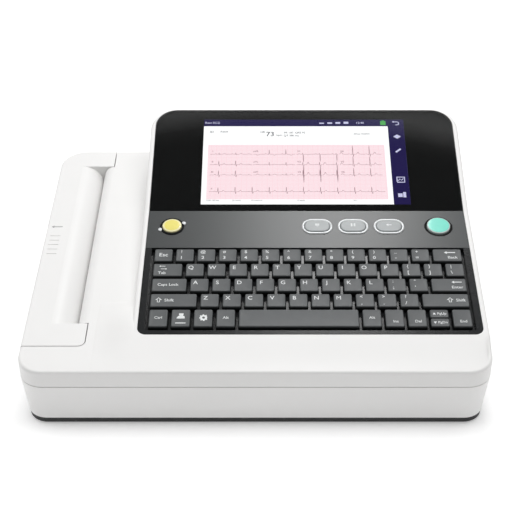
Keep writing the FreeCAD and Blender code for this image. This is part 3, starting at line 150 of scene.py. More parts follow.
def painted_shade_below(material, low, high, share):
    """Paint shade on a material towards its foot, between two heights in its own frame: darker colour and
    less specular lower down.
    """
    tree = material.node_tree
    shader = tree.nodes["Principled BSDF"]
    colour = shader.inputs["Base Color"].links[0].from_socket
    light = ranged(tree, separated(tree, "Object")["Z"], (low, high), (share, 1))
    scale = tree.nodes.new("ShaderNodeVectorMath")
    scale.operation = "SCALE"
    link(tree, colour, scale.inputs["Vector"])
    link(tree, light, scale.inputs["Scale"])
    link(tree, scale.outputs["Vector"], shader.inputs["Base Color"])
    link(tree, ranged(tree, light, (share, 1), (0, 0.5)), shader.inputs["Specular IOR Level"])
    return material


def glow(name, colour, strength):
    """Lit picture on the screen, slightly uneven, as a backlight is."""
    material = finish(name, tuple(c * 0.1 for c in colour), 0.5, grain=(1, 0))
    shader = material.node_tree.nodes["Principled BSDF"]
    shader.inputs["Emission Color"].default_value = (*colour, 1)
    shader.inputs["Emission Strength"].default_value = strength
    shader.inputs["Specular IOR Level"].default_value = 0
    return material


def chart_paper(name, ground, ruling, strength):
    """Lit chart grid: thin lines every millimetre of chart and stronger ones every fifth."""
    material = glow(name, ground, strength)
    tree = material.node_tree
    axes = separated(tree, "Object")
    lines = None
    for axis in ("X", "Y"):
        for pitch, width, weight in CHART_LINES:
            share = calculated(tree, "FRACT", calculated(tree, "MULTIPLY", axes[axis], 1 / pitch))
            ruled = calculated(tree, "MULTIPLY", calculated(tree, "LESS_THAN", share, width), weight)
            lines = ruled if lines is None else calculated(tree, "MAXIMUM", lines, ruled)
    shader = tree.nodes["Principled BSDF"]
    link(tree, mixed(tree, lines, ground, ruling), shader.inputs["Emission Color"])
    return material


FINISHES = {
    "white_casing": finish("white_casing", (0.88, 0.875, 0.866), 0.4, (25, 0.006), (3200, 0.004)),
    # plinth near black: partly the plinth's own colour, partly painted shade for the shadowed gap under the
    # casing
    "plinth_black": finish("plinth_black", (0.022, 0.022, 0.023), 0.55, (80, 0.15), (2400, 0.02)),
    "foot_rubber": finish("foot_rubber", (0.03, 0.03, 0.03), 0.8, (120, 0.2), (1500, 0.03)),
    "screw_steel": finish("screw_steel", (0.62, 0.62, 0.62), 0.35, (300, 0.08), (4000, 0.004),
                          Metallic=1.0),
    "window_glass": finish("window_glass", (0.98, 0.99, 0.99), 0.01, (60, 0.0), (1, 0), 0.004,
                           Transmission_Weight=1.0, IOR=1.35),
    "frame_steel": finish("frame_steel", (0.6, 0.61, 0.62), 0.38, (200, 0.12), (900, 0.006), Metallic=1.0),
    "strip_grey": finish("strip_grey", (0.044, 0.048, 0.049), 0.3, (12, 0.01), (3000, 0.0), 0.0),
    "bezel_black": finish("bezel_black", (0.012, 0.013, 0.014), 0.2, (60, 0.1), (1500, 0.0), 0.02,
                          Specular_IOR_Level=0.35),
    "key_grey": finish("key_grey", (0.082, 0.088, 0.091), 0.42, (150, 0.04), (3600, 0.006)),
    "board_green": finish("board_green", (0.012, 0.11, 0.05), 0.35, (400, 0.3), (1200, 0.02)),
    "membrane": finish("membrane", (0.4, 0.42, 0.4), 0.3, (100, 0.05), (600, 0.01)),
    "button_yellow": finish("button_yellow", (0.84, 0.74, 0.17), 0.36, (120, 0.03), (2500, 0.006),
                            Coat_Weight=0.2),
    "button_teal": finish("button_teal", (0.19, 0.75, 0.61), 0.36, (120, 0.03), (2500, 0.006),
                          Coat_Weight=0.2),
    "button_silver": finish("button_silver", (0.33, 0.35, 0.355), 0.34, (200, 0.04), (3000, 0.006)),
    "ring_metal": finish("ring_metal", (0.74, 0.76, 0.77), 0.34, (300, 0.04), (3000, 0.002), Metallic=0.2),
    "tray_white": finish("tray_white", (0.74, 0.74, 0.73), 0.5, (40, 0.02), (2500, 0.012)),
    "paper": finish("paper", (0.86, 0.82, 0.8), 0.75, (500, 0.03), (1800, 0.02)),
    "platen_rubber": finish("platen_rubber", (0.035, 0.035, 0.038), 0.65, (300, 0.15), (2500, 0.02)),
    "shaft_steel": finish("shaft_steel", (0.7, 0.7, 0.7), 0.25, (300, 0.06), (600, 0.003), 0.06, (1, 12, 1),
                          Metallic=1.0),
    "bush_plastic": finish("bush_plastic", (0.12, 0.12, 0.12), 0.5, (200, 0.1), (2500, 0.01)),
    "gear_white": finish("gear_white", (0.78, 0.76, 0.7), 0.4, (200, 0.03), (2000, 0.008)),
    "head_ceramic": finish("head_ceramic", (0.62, 0.6, 0.55), 0.2, (300, 0.05), (2000, 0.003)),
    "bracket_aluminium": finish("bracket_aluminium", (0.72, 0.73, 0.74), 0.32, (200, 0.06), (700, 0.005),
                                0.06, (1, 10, 1), Metallic=1.0),
    "motor_can": finish("motor_can", (0.16, 0.16, 0.17), 0.34, (200, 0.1), (900, 0.004), Metallic=0.8),
    "cell_pack": finish("cell_pack", (0.05, 0.06, 0.1), 0.4, (80, 0.1), (500, 0.02)),
    "connector_black": finish("connector_black", (0.02, 0.02, 0.02), 0.45, (150, 0.15), (2500, 0.012)),
    "connector_metal": finish("connector_metal", (0.66, 0.66, 0.65), 0.3, (300, 0.08), (1500, 0.004),
                              Metallic=1.0),
    "stud_brass": finish("stud_brass", (0.72, 0.6, 0.36), 0.28, (300, 0.08), (1500, 0.003), Metallic=1.0),
    "ribbon": finish("ribbon", (0.5, 0.5, 0.52), 0.5, (60, 0.05), (700, 0.03), 0.04, (1, 8, 1)),
    "screen": glow("screen", (0.9, 0.92, 0.95), 0.9),
}
BODIES = frame["record"]["behaviour"]["bodies"]
BODY_OF_NODE = {node: name for name, nodes in BODIES.items() for node in nodes}
SLOT_OF_NODE = {part["node"]: part["material_slot"] for part in frame["record"]["subparts"]}

for node, thing in frame["nodes"].items():
    thing.data.materials.clear()
    thing.data.materials.append(FINISHES[SLOT_OF_NODE[node]])


# ------------------------------------------------------------------- slopes
def slope_frame(node):
    """Frame of a node's sloping top face, with Y = 0 at its front edge."""
    mesh = frame["nodes"][node].data
    face = max((f for f in mesh.polygons if f.normal.z > 0.5), key=lambda f: f.area)
    across = Vector((1, 0, 0))
    out = Vector((0, face.normal.y, face.normal.z)).normalized()
    up = out.cross(across)
    level = face.center.dot(out)
    front = min(v.co.dot(up) for v in mesh.vertices if abs(v.co.dot(out) - level) < 0.02 * MM)
    origin = up * front + out * level
    return Matrix.Translation(origin) @ Matrix((across, up, out)).transposed().to_4x4()


KEYBOARD = slope_frame("keyboard_bezel")
DISPLAY = slope_frame("display_window")


def local_points(node, slope):
    """A node's vertices in a slope's frame."""
    inverse = slope.inverted()
    return [inverse @ v.co for v in frame["nodes"][node].data.vertices]


def solids(node, slope, axis):
    """Points of each separate solid of a node in a slope's frame, in order along an axis."""
    points = local_points(node, slope)
    place = {}
    leader = list(range(len(points)))

    def find(index):
        while leader[index] != index:
            index = leader[index]
        return index

    for index, point in enumerate(points):
        first = place.setdefault(tuple(round(c / (0.001 * MM)) for c in point), index)
        leader[index] = find(first)
    for face in frame["nodes"][node].data.polygons:
        for index in face.vertices[1:]:
            leader[find(index)] = find(face.vertices[0])
    groups = {}
    for index, point in enumerate(points):
        groups.setdefault(find(index), []).append(point)
    return sorted(groups.values(), key=lambda group: min(p[axis] for p in group))


def extent(points, axis):
    """Lowest and highest value on an axis."""
    values = [p[axis] for p in points]
    return min(values), max(values)


def moved(span, outwards):
    """Range with both its ends moved outwards."""
    return span[0] - outwards, span[1] + outwards


# ------------------------------------------------------------- mesh building
class Mesh:
    """Vertices and faces of one piece, in a slope's frame."""

    def __init__(self):
        self.vertices = []
        self.faces = []

    def add(self, vertices, faces):
        """Add vertices and the faces that count from the first of them."""
        start = len(self.vertices)
        self.vertices += [tuple(v) for v in vertices]
        self.faces += [tuple(start + i for i in face) for face in faces]

    def loops(self, rings):
        """Closed skin through rings of equal length, capped at both ends."""
        count = len(rings[0])
        faces = [tuple(reversed(range(count)))]
        for level in range(len(rings) - 1):
            low, high = level * count, (level + 1) * count
            for i in range(count):
                after = (i + 1) % count
                faces.append((low + i, low + after, high + after, high + i))
        last = (len(rings) - 1) * count
        faces.append(tuple(last + i for i in range(count)))
        self.add([point for ring in rings for point in ring], faces)

    def prism(self, outline, low, high):
        """Flat shape between two heights, from its outline as (x, y) points anticlockwise."""
        self.loops([[(x, y, z) for x, y in outline] for z in (low, high)])

    def hoop(self, rings):
        """Closed skin through rings of equal length, the last joined back to the first."""
        count = len(rings[0])
        faces = []
        for level in range(len(rings)):
            low, high = level * count, (level + 1) % len(rings) * count
            for i in range(count):
                after = (i + 1) % count
                faces.append((low + i, low + after, high + after, high + i))
        self.add([point for ring in rings for point in ring], faces)

    def ribbon(self, points, width, low, high):
        """Line of even width through (x, y) points, between two heights."""
        vertices, faces = [], [(0, 1, 2, 3)]
        for i, (x, y) in enumerate(points):
            before, after = points[max(i - 1, 0)], points[min(i + 1, len(points) - 1)]
            along = Vector((after[0] - before[0], after[1] - before[1])).normalized()
            side = Vector((-along.y, along.x)) * width / 2
            left, right = (x + side.x, y + side.y), (x - side.x, y - side.y)
            vertices += [(*left, low), (*left, high), (*right, high), (*right, low)]
        for start in range(0, len(vertices) - 4, 4):
            for corner in range(4):
                after = (corner + 1) % 4
                faces.append((start + corner, start + 4 + corner, start + 4 + after, start + after))
        last = len(vertices) - 4
        faces.append((last + 3, last + 2, last + 1, last))
        self.add(vertices, faces)

    def piece(self, name, slope, material, body, slot, smooth=False):
        """Make the object and ride it on its body; the slot is not used."""
        mesh = bpy.data.meshes.new(name)
        mesh.from_pydata(self.vertices, [], self.faces)
        mesh.materials.append(material)
        if smooth:
            mesh.shade_smooth()
            mesh.set_sharp_from_angle(angle=math.radians(40))
        thing = bpy.data.objects.new(name, mesh)
        thing.matrix_world = slope
        bpy.context.scene.collection.objects.link(thing)
        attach(thing, body)
        return thing


def rounded_ring(x, y, z, radius, steps=5):
    """Rounded rectangle as a ring of points at a height, anticlockwise."""
    centres = (
        (x[1] - radius, y[0] + radius, -90),
        (x[1] - radius, y[1] - radius, 0),
        (x[0] + radius, y[1] - radius, 90),
        (x[0] + radius, y[0] + radius, 180),
    )
    ring = []
    for centre_x, centre_y, start in centres:
        for step in range(steps + 1):
            angle = math.radians(start + 90 * step / steps)
            ring.append((centre_x + radius * math.cos(angle), centre_y + radius * math.sin(angle), z))
    return ring


def circle(x, y, radius, steps=24, start=0.0, turn=360.0):
    """Points on a circle or an arc of it, anticlockwise."""
    count = steps if turn == 360.0 else steps + 1
    angles = [math.radians(start + turn * i / steps) for i in range(count)]
    return [(x + radius * math.cos(a), y + radius * math.sin(a)) for a in angles]


def rectangle(x0, y0, x1, y1):
    """Corners of a rectangle, anticlockwise."""
    return [(x0, y0), (x1, y0), (x1, y1), (x0, y1)]


def scaled(outline, size=MM, middle=(0, 0)):
    """Outline in millimetres, or another unit, brought to metres about a point."""
    return [(middle[0] + x * size, middle[1] + y * size) for x, y in outline]


CAPITAL = 0.7  # height of a capital as a share of the font's size
BOLDER = 0.012


def lettering(text, size):
    """Mesh of a text, centred on its origin, of that capital height, as vertices and faces."""
    curve = bpy.data.curves.new("lettering", "FONT")
    curve.body = text
    curve.size = size / CAPITAL
    curve.resolution_u = 3
    curve.extrude = PRINT / 2
    if "M" not in text:  # the offset spoils an M
        curve.offset = size * BOLDER
    curve.align_x = "CENTER"
    curve.align_y = "CENTER"
    holder = bpy.data.objects.new("lettering", curve)
    bpy.context.scene.collection.objects.link(holder)
    mesh = bpy.data.meshes.new_from_object(holder)
    vertices = [v.co.copy() for v in mesh.vertices]
    faces = [tuple(face.vertices) for face in mesh.polygons]
    bpy.data.objects.remove(holder)
    bpy.data.meshes.remove(mesh)
    bpy.data.curves.remove(curve)
    return vertices, faces


# --------------------------------------------------------------------- keys
SKIRT_FOOT = -2.4 * MM  # height in the slope's frame
FLAT_EDGE = 0.5 * MM
STEM_RADIUS = 2 * MM
CAP_ROUND = 0.75 * MM
CAP_CORNER = 1.3 * MM
DISH = 0.26 * MM
SKIRT_LEVELS = (0.0, 0.03, 0.5)
DISH_RINGS = (0.16, 0.27, 0.4, 0.56, 0.74, 0.92)
LEGEND_LIFT = 0.03 * MM
# lowest and highest height of the shade painted down each keycap's skirt, and the share of colour left at
# its darkest; it stands in for the shadow deep between the keys
KEY_SHADE = (-0.6 * MM, 1.1 * MM, 0.15)


class Key:
    """One keycap: its top rectangle, skirt, and the shallow dish in its top."""

    def __init__(self, points):
        self.low, self.top = SKIRT_FOOT, extent(points, 2)[1]
        flat = [p for p in points if p.z > self.top - 0.01 * MM]
        cap = [p for p in points if p.z > self.low - 0.01 * MM]
        self.x, self.y = (moved(extent(flat, axis), FLAT_EDGE) for axis in (0, 1))
        self.skirt_x, self.skirt_y = extent(cap, 0), extent(cap, 1)
        self.stem = extent(points, 2)[0]

    def height(self, x, y):
        """Height of the dished top, which falls away from its edges."""
        reach = min(self.x[1] - self.x[0], self.y[1] - self.y[0]) / 2
        inward = max(0, min(x - self.x[0], self.x[1] - x, y - self.y[0], self.y[1] - y, reach))
        return self.top - DISH * (1 - (1 - inward / reach) ** 2)

    def side(self, share):
        """Outline of the skirt at a share of its height: x and y ranges."""
        x = tuple(a + (b - a) * share for a, b in zip(self.skirt_x, self.x))
        y = tuple(a + (b - a) * share for a, b in zip(self.skirt_y, self.y))
        return x, y

    def build(self, mesh):
        """Add the keycap and its stem to a mesh."""
        rings = []
        for share in SKIRT_LEVELS:
            x, y = self.side(share)
            inset = 0.12 * MM if share == 0 else 0
            rise = self.low + (self.top - self.low) * share
            rings.append(rounded_ring(moved(x, -inset), moved(y, -inset), rise, CAP_CORNER))
        share = 1 - CAP_ROUND / (self.top - self.low)
        side_x, side_y = self.side(share)
        for step in range(6):
            angle = math.pi / 2 * step / 5
            inset = CAP_ROUND * (1 - math.cos(angle))
            x, y = moved(side_x, -inset), moved(side_y, -inset)
            rise = self.top - CAP_ROUND * (1 - math.sin(angle))
            rings.append(rounded_ring(x, y, rise, max(CAP_CORNER - inset * 0.6, 0.4 * MM)))
        reach = min(self.x[1] - self.x[0], self.y[1] - self.y[0]) / 2
        for share in DISH_RINGS:
            x, y = moved(self.x, -reach * share), moved(self.y, -reach * share)
            corner = CAP_CORNER * (1 - share) * 0.6
            rings.append(rounded_ring(x, y, self.height(x[0], sum(y) / 2), corner))
        mesh.loops(rings)
        stem = circle(sum(self.x) / 2, sum(self.y) / 2, STEM_RADIUS)
        mesh.prism(stem, self.stem, self.low + 0.3 * MM)

    def place(self, across, up):
        """Point of the top at shares of its width and depth."""
        return self.x[0] + across * (self.x[1] - self.x[0]), self.y[0] + up * (self.y[1] - self.y[0])

    def write(self, mesh, text, across, up, size):
        """Put a text on the top."""
        vertices, faces = lettering(text, size)
        x, y = self.place(across, up)
        placed = []
        for v in vertices:
            px, py = x + v.x, y + v.y
            placed.append((px, py, self.height(px, py) + LEGEND_LIFT + v.z))
        mesh.add(placed, faces)

    def draw(self, mesh, outline, across, up):
        """Put a flat symbol on the top, its outline in metres about its middle."""
        x, y = self.place(across, up)
        level = self.height(x, y) + LEGEND_LIFT
        mesh.prism(scaled(outline, 1, (x, y)), level - PRINT / 2, level + PRINT / 2)

    def outline(self, mesh, outer, inner, size, across, up):
        """Put the outline of a symbol on the top, as a line between two outlines."""
        x, y = self.place(across, up)
        level = self.height(x, y) + LEGEND_LIFT
        rings = []
        for loop, lift in ((inner, PRINT / 2), (inner, -PRINT / 2), (outer, -PRINT / 2), (outer, PRINT / 2)):
            rings.append([(px, py, level + lift) for px, py in scaled(loop, size, (x, y))])
        mesh.hoop(rings)


ARROW = [(-3.2, 0), (-1.6, -1.1), (-1.6, -0.35), (3, -0.35), (3, 0.35), (-1.6, 0.35), (-1.6, 1.1)]
SHIFT_ARROW = [(-0.7, -1.5), (0.7, -1.5), (0.7, 0.1), (1.7, 0.1), (0, 1.8), (-1.7, 0.1), (-0.7, 0.1)]
SHIFT_INNER = [(-0.4, -1.2), (0.4, -1.2), (0.4, 0.4), (0.95, 0.4), (0, 1.35), (-0.95, 0.4), (-0.4, 0.4)]
TRIANGLE = [(-1, -0.7), (1, -0.7), (0, 1)]
WORDS = {
    "key_escape": ("Esc",),
    "keys_row_1": ("!1", "@2", "#3", "$4", "%5", "^6", "&7", "*8", "(9", ")0", "_-", "+="),
    "keys_row_2": (*"QWERTYUIOP", "{[", "}]", "|\\"),
    "keys_row_3": (*"ASDFGHJKL", ":;", "\"'"),
    "keys_row_4": (*"ZXCVBNM", "<,", ">.", "?/"),
    "keys_row_5": ("Ctrl", "patient", "gear", "Alt", "Alt", "Ins", "Del", "End"),
}


def key_words(key, mesh, node, index):
    """Legend of one key."""
    if node == "key_tab":
        key.draw(mesh, scaled(ARROW, 0.8 * MM), 0.3, 0.8)
        key.draw(mesh, [(-x, y) for x, y in scaled(ARROW, 0.8 * MM)][::-1], 0.36, 0.58)
        key.write(mesh, "Tab", 0.3, 0.24, 2.9 * MM)
    elif node == "key_caps_lock":
        key.write(mesh, "Caps Lock", 0.46, 0.52, 2.7 * MM)
    elif node == "key_backspace":
        key.draw(mesh, scaled(ARROW, 1.45 * MM), 0.6, 0.72)
        key.write(mesh, "Back", 0.68, 0.3, 2.9 * MM)
    elif node == "key_enter":
        key.draw(mesh, scaled(ARROW, 1.3 * MM), 0.74, 0.72)
        key.write(mesh, "Enter", 0.74, 0.3, 2.9 * MM)
    elif node == "shift_keys":
        left = index == 0
        arrow = 0.17 if left else 0.6
        key.outline(mesh, SHIFT_ARROW, SHIFT_INNER, 1.55 * MM, arrow, 0.52)
        key.write(mesh, "Shift", arrow + 0.23, 0.5, 2.9 * MM)
    elif node == "page_keys":
        lower = index == 0
        triangle = TRIANGLE if not lower else [(-x, -y) for x, y in TRIANGLE]
        key.draw(mesh, scaled(triangle, 1.3 * MM), 0.22, 0.5)
        key.write(mesh, "PgDn" if lower else "PgUp", 0.64, 0.5, 2.3 * MM)
    elif node == "keys_row_5" and index == 1:
        patient_symbol(key, mesh)
    elif node == "keys_row_5" and index == 2:
        gear_symbol(key, mesh)
    elif node == "keys_row_5" or node == "key_escape":
        low = index > 4
        size = 3.9 * MM if node == "key_escape" else 2.6 * MM
        key.write(mesh, WORDS[node][index], 0.55 if low else 0.5, 0.3 if low else 0.52, size)
    elif node in WORDS:
        word = WORDS[node][index]
        if word.isalpha():
            key.write(mesh, word, 0.27, 0.68, 3.8 * MM)
        else:
            key.write(mesh, word[0], 0.3, 0.78, 3.0 * MM)
            key.write(mesh, word[1], 0.3, 0.28, 3.5 * MM)


def patient_symbol(key, mesh):
    """Head and shoulders over a short line."""
    key.draw(mesh, scaled(circle(0, 2.3, 1.8)), 0.52, 0.6)
    key.draw(mesh, scaled(circle(0, -2.3, 3.4, 16, 0, 180)), 0.52, 0.6)
    key.draw(mesh, scaled(rectangle(-3.9, -0.45, 3.9, 0.45)), 0.5, 0.2)


def gear_symbol(key, mesh):
    """Toothed wheel with a hole."""
    teeth = 8
    outline = []
    for i in range(teeth * 4):
        radius = 3.5 if i % 4 < 2 else 2.7
        angle = 2 * math.pi * i / (teeth * 4)
        outline.append((radius * math.cos(angle), radius * math.sin(angle)))
    key.outline(mesh, outline, circle(0, 0, 1.1, teeth * 4), MM, 0.52, 0.52)


def make_keys():
    """Dished keycaps and their printed legends, one piece of each for every key node."""
    # painted shade: the keycaps darken and lose their gloss down their skirts, where the shadow between the
    # rows would fall
    key_finish_painted_shade = painted_shade_below(FINISHES["key_grey"].copy(), *KEY_SHADE)
    print_white = finish("legend_print", (0.78, 0.8, 0.8), 0.55, (400, 0.05), (3000, 0.004))
    for node in sorted(SLOT_OF_NODE):
        if SLOT_OF_NODE[node] != "key_grey":
            continue
        axis = 1 if node == "page_keys" else 0
        caps, words = Mesh(), Mesh()
        for index, points in enumerate(solids(node, KEYBOARD, axis)):
            key = Key(points)
            key.build(caps)
            key_words(key, words, node, index)
        cap = caps.piece("caps_" + node, KEYBOARD, key_finish_painted_shade, BODY_OF_NODE[node], "key_grey", True)
        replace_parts(cap, node)
        if words.faces:
            words.piece("legend_" + node, KEYBOARD, print_white, BODY_OF_NODE[node], "key_grey")


# ------------------------------------------------------------------- screen
SCREEN = [extent(local_points("lcd_screen", DISPLAY), axis) for axis in (0, 1, 2)]
GLASS_BACK = extent(local_points("display_window", DISPLAY), 2)[0]
TOOLBAR = 14.2 * MM
STATUS_BAR = 8.2 * MM
HEADER = 22.5 * MM
PAGE_MARGIN = 4.4 * MM
FOOTER = 5.6 * MM
LAYER = 0.012 * MM
TOP_LAYER = 2


def on_screen(layer):
    """Heights between which a layer of the picture lies, over the screen and under the glass."""
    low = SCREEN[2][1] + (0.3 + 1.6 * layer) * LAYER
    return low, low + LAYER


def show(name, mesh, colour, strength=1.0):
    """Turn a layer of the picture into a lit piece."""
    mesh.piece(name, DISPLAY, glow(name, colour, strength), "machine", "screen")


def beat(time, r, s, t):
    """Voltage of one heartbeat at a time in seconds from its R peak, in millivolts."""
    waves = ((-0.17, 0.025, 0.12), (-0.035, 0.009, -0.08 * abs(r)), (0.0, 0.011, r),
             (0.034, 0.012, -s), (0.26, 0.05, t))
    return sum(height * math.exp(-((time - centre) / width) ** 2) for centre, width, height in waves)


# each lead's name and the heights of its R, S and T waves in millivolts
LEADS = (
    (("I", 0.3, 0.1, 0.15), ("aVR", 0.9, -0.05, -0.2), ("V1", 0.2, 1.5, -0.1), ("V4", 1.7, 0.5, 0.4)),
    (("II", 0.8, 0.3, 0.25), ("aVL", 0.5, 0.15, 0.1), ("V2", 0.5, 2.4, 0.45), ("V5", 1.6, 0.4, 0.35)),
    (("III", 0.9, 0.4, 0.15), ("aVF", 0.3, 0.1, 0.2), ("V3", 1.0, 1.4, 0.5), ("V6", 1.3, 0.3, 0.25)),
)
RHYTHM = ("II", 0.9, 0.4, 0.25)
BASELINES = (65.5 * MM, 53.2 * MM, 41.3 * MM, 22.3 * MM)
BEAT_PITCH = 14.5 * MM
BEAT_SECONDS = 0.82
MILLIVOLT = 6.2 * MM
CHART_MARGIN = 2 * MM
FIRST_BEAT = 9.7 * MM
LEAD_GAP = 1.2 * MM
NAME_ACROSS = 2.2 * MM
NAME_UP = 3.4 * MM
NAME_SIZE = 1.9 * MM
# place across, place up from the header's line, and height, in millimetres
HEADER_TEXTS = (
    ("ID", 7, 2.2, 2.6), ("Adult", 18, 2.6, 2.2), ("HR", 52, 2, 2.2), ("73", 58.5, -0.5, 5.2),
    ("bpm", 66.5, -1.6, 2), ("PR 160  QRS 92", 80, 1.4, 2), ("QT 380 ms", 77, -2.2, 2),
    ("Sinus rhythm", 139, 0, 1.9),
)
FOOTER_TEXTS = (("0.05-150 Hz", 10), ("25 mm/s", 30), ("10 mm/mV", 47), ("12 leads", 84), ("10 s", 130))
STATUS_TEXTS = (("Rest ECG", 7.5), ("12:40", 138))


def trace(mesh, start, end, first_beat, base, lead):
    """One lead's line across a stretch of chart."""
    _, r, s, t = lead
    step = 0.14 * MM
    points = []
    for i in range(int((end - start) / step) + 1):
        x = start + i * step
        beats = (x - first_beat) / BEAT_PITCH
        time = (beats - round(beats)) * BEAT_SECONDS
        points.append((x, base + MILLIVOLT * beat(time, r, s, t)))
    mesh.ribbon(points, 0.3 * MM, *on_screen(TOP_LAYER))


def words_on_screen(mesh, text, x, y, size):
    """Text centred at a place on the screen."""
    vertices, faces = lettering(text, size)
    low, high = on_screen(TOP_LAYER)
    mesh.add([(x + v.x, y + v.y, high if v.z > 0 else low) for v in vertices], faces)


def draw_leads(mesh, left, right):
    """Twelve leads in three rows with the rhythm strip under them, each with its name."""
    start = left + CHART_MARGIN
    column = (right - left - 2 * CHART_MARGIN) / 4
    first_beat = left + FIRST_BEAT
    for leads, baseline in zip(LEADS, BASELINES):
        for place, lead in enumerate(leads):
            x = start + place * column
            trace(mesh, x, x + column - LEAD_GAP, first_beat, baseline, lead)
            words_on_screen(mesh, lead[0], x + NAME_ACROSS, baseline + NAME_UP, NAME_SIZE)
    trace(mesh, start, right - CHART_MARGIN, first_beat, BASELINES[-1], RHYTHM)
    words_on_screen(mesh, RHYTHM[0], start + NAME_ACROSS, BASELINES[-1] + NAME_UP, NAME_SIZE)


def write_texts(ink, pale):
    """Header and footer of the page, and the words of the status bar."""
    (left, _), (bottom, top), _ = SCREEN
    footer = bottom + FOOTER / 2 + 1.5 * MM
    for text, x in FOOTER_TEXTS:
        words_on_screen(ink, text, left + x * MM, footer, 1.5 * MM)
    header = top - STATUS_BAR - 9.3 * MM
    for text, x, y, size in HEADER_TEXTS:
        words_on_screen(ink, text, left + x * MM, header + y * MM, size * MM)
    for text, x in STATUS_TEXTS:
        words_on_screen(pale, text, left + x * MM, top - STATUS_BAR / 2, 2.3 * MM)


def make_screen():
    """Lit picture of a twelve-lead recording under the glass, and the black print around it."""
    (left, right), (bottom, top), _ = SCREEN
    page_right = right - TOOLBAR
    page_top = top - STATUS_BAR
    page, bars, grid, lines, ink, pale = (Mesh() for _ in range(6))
    page.prism(rectangle(left, bottom, page_right, page_top), *on_screen(0))
    bars.prism([(left, page_top), (page_right, page_top), (page_right, bottom), (right, bottom),
                (right, top), (left, top)], *on_screen(0))
    chart = (left + PAGE_MARGIN, bottom + FOOTER, page_right - PAGE_MARGIN, page_top - HEADER)
    grid.prism(rectangle(*chart), *on_screen(1))
    draw_leads(lines, chart[0], chart[2])
    write_texts(ink, pale)
    for index in range(4):
        x = left + (102 + index * 7.2) * MM
        y = top - STATUS_BAR / 2
        bar = rectangle(x, y - 1.1 * MM, x + 4.2 * MM, y + (0.3 + 0.4 * index) * MM)
        pale.prism(bar, *on_screen(TOP_LAYER))
    toolbar_icons(pale, right - TOOLBAR / 2 + 0.4 * MM, top)
    battery = Mesh()
    x, y = page_right - 4 * MM, top - STATUS_BAR / 2
    battery.prism(rectangle(x - 2.4 * MM, y - 2.6 * MM, x + 2.4 * MM, y + 2.2 * MM), *on_screen(1))
    battery.prism(rectangle(x - 1 * MM, y + 2.2 * MM, x + 1 * MM, y + 3.1 * MM), *on_screen(1))
    show("screen_page", page, (1.0, 1.0, 1.0), 1.1)
    show("screen_bars", bars, (0.014, 0.009, 0.072))
    show("screen_traces", lines, (0.3, 0.17, 0.2))
    show("screen_text", ink, (0.1, 0.1, 0.12))
    show("screen_icons", pale, (0.62, 0.62, 0.85))
    show("screen_battery", battery, (0.08, 0.42, 0.1))
    paper = chart_paper("screen_chart", (1.0, 0.785, 0.83), (0.84, 0.46, 0.53), 1.04)
    grid.piece("screen_chart", DISPLAY, paper, "machine", "screen")
    make_glass_print()


# how far below the screen's top, the line's width, and the points, in millimetres
ICON_LINES = (
    (4.6, 0.8, ((-2.6, 1.8), (1.2, 1.8), (2.4, 0.9), (2.4, -1.0), (1.2, -1.9), (-0.6, -1.9))),
    (37.5, 1.7, ((-2.2, -2.0), (2.2, 2.0))),
    (71.5, 1.1, ((-3.2, -2.9), (3.2, -2.9), (3.2, 2.9), (-3.2, 2.9), (-3.2, -2.2))),
    (71.5, 0.8, ((-2.2, -1.2), (-0.8, 0.9), (0.5, -0.7), (2.2, 1.3))),
)
ICON_SHAPES = (
    (4.6, ((-3.4, 1.8), (-1.9, 0.6), (-1.9, 3.0))),
    (20.8, ((-3.4, 0), (0, -2.6), (3.4, 0), (0, 2.6))),
    (88.5, rectangle(-3.4, -2.6, 0.4, 1.4)),
    (88.5, rectangle(0.9, -3.0, 3.4, 2.9)),
)


def toolbar_icons(mesh, x, top):
    """Symbols on the tool bar: back, layers, pen, chart and pages."""
    heights = on_screen(TOP_LAYER)
    for drop, width, points in ICON_LINES:
        mesh.ribbon(scaled(points, MM, (x, top - drop * MM)), width * MM, *heights)
    for drop, points in ICON_SHAPES:
        mesh.prism(scaled(points, MM, (x, top - drop * MM)), *heights)


GLASS_CORNER = 18.7 * MM
GLASS_LOW_CORNER = 0.6 * MM


def make_glass_print():
    """Black print on the back of the glass, open over the screen."""
    points = local_points("display_window", DISPLAY)
    x, y = extent(points, 0), extent(points, 1)
    inset = 0.15 * MM
    steps = 12
    outer = []
    for centre_x, centre_y, radius, start in (
        (x[1], y[0], GLASS_LOW_CORNER, -90), (x[1], y[1], GLASS_CORNER, 0),
        (x[0], y[1], GLASS_CORNER, 90), (x[0], y[0], GLASS_LOW_CORNER, 180),
    ):
        middle_x = centre_x - math.copysign(radius, centre_x)
        middle_y = centre_y + (radius if centre_y == y[0] else -radius)
        outer += circle(middle_x, middle_y, radius - inset, steps, start, 90)
    (left, right), (bottom, top), _ = SCREEN
    inner = [(px, py) for px, py, _ in rounded_ring((left, right), (bottom, top), 0, 0.3 * MM, steps)]
    high = GLASS_BACK - 0.005 * MM
    low = high - 0.02 * MM
    mesh = Mesh()
    mesh.hoop([[(px, py, z) for px, py in ring] for ring, z in
               ((inner, high), (inner, low), (outer, low), (outer, high))])
    black = finish("glass_print", (0.013, 0.015, 0.0155), 0.5, (60, 0.1), (1, 0),
                   Specular_IOR_Level=0)
    mesh.piece("glass_print", DISPLAY, black, "machine", "window_glass")


# -------------------------------------------------------------------- apron
RIM_FRONT = 2.8 * MM
RIM_LEFT = 4.35 * MM
CONSOLE_CORNER = 10.5 * MM
BODY_CORNER = 19 * MM
EDGE = 2.2 * MM
OVERLAP = 0.3 * MM
FADE = 30 * MM
REACH_BACK = 50 * MM
PROBE = 20 * MM
HIDDEN = 0.4 * MM
LIFT = 0.02 * MM


def eased(share):
    """Share from 0 to 1 that starts and ends gently."""
    share = min(1, max(0, share))
    return share * share * (3 - 2 * share)


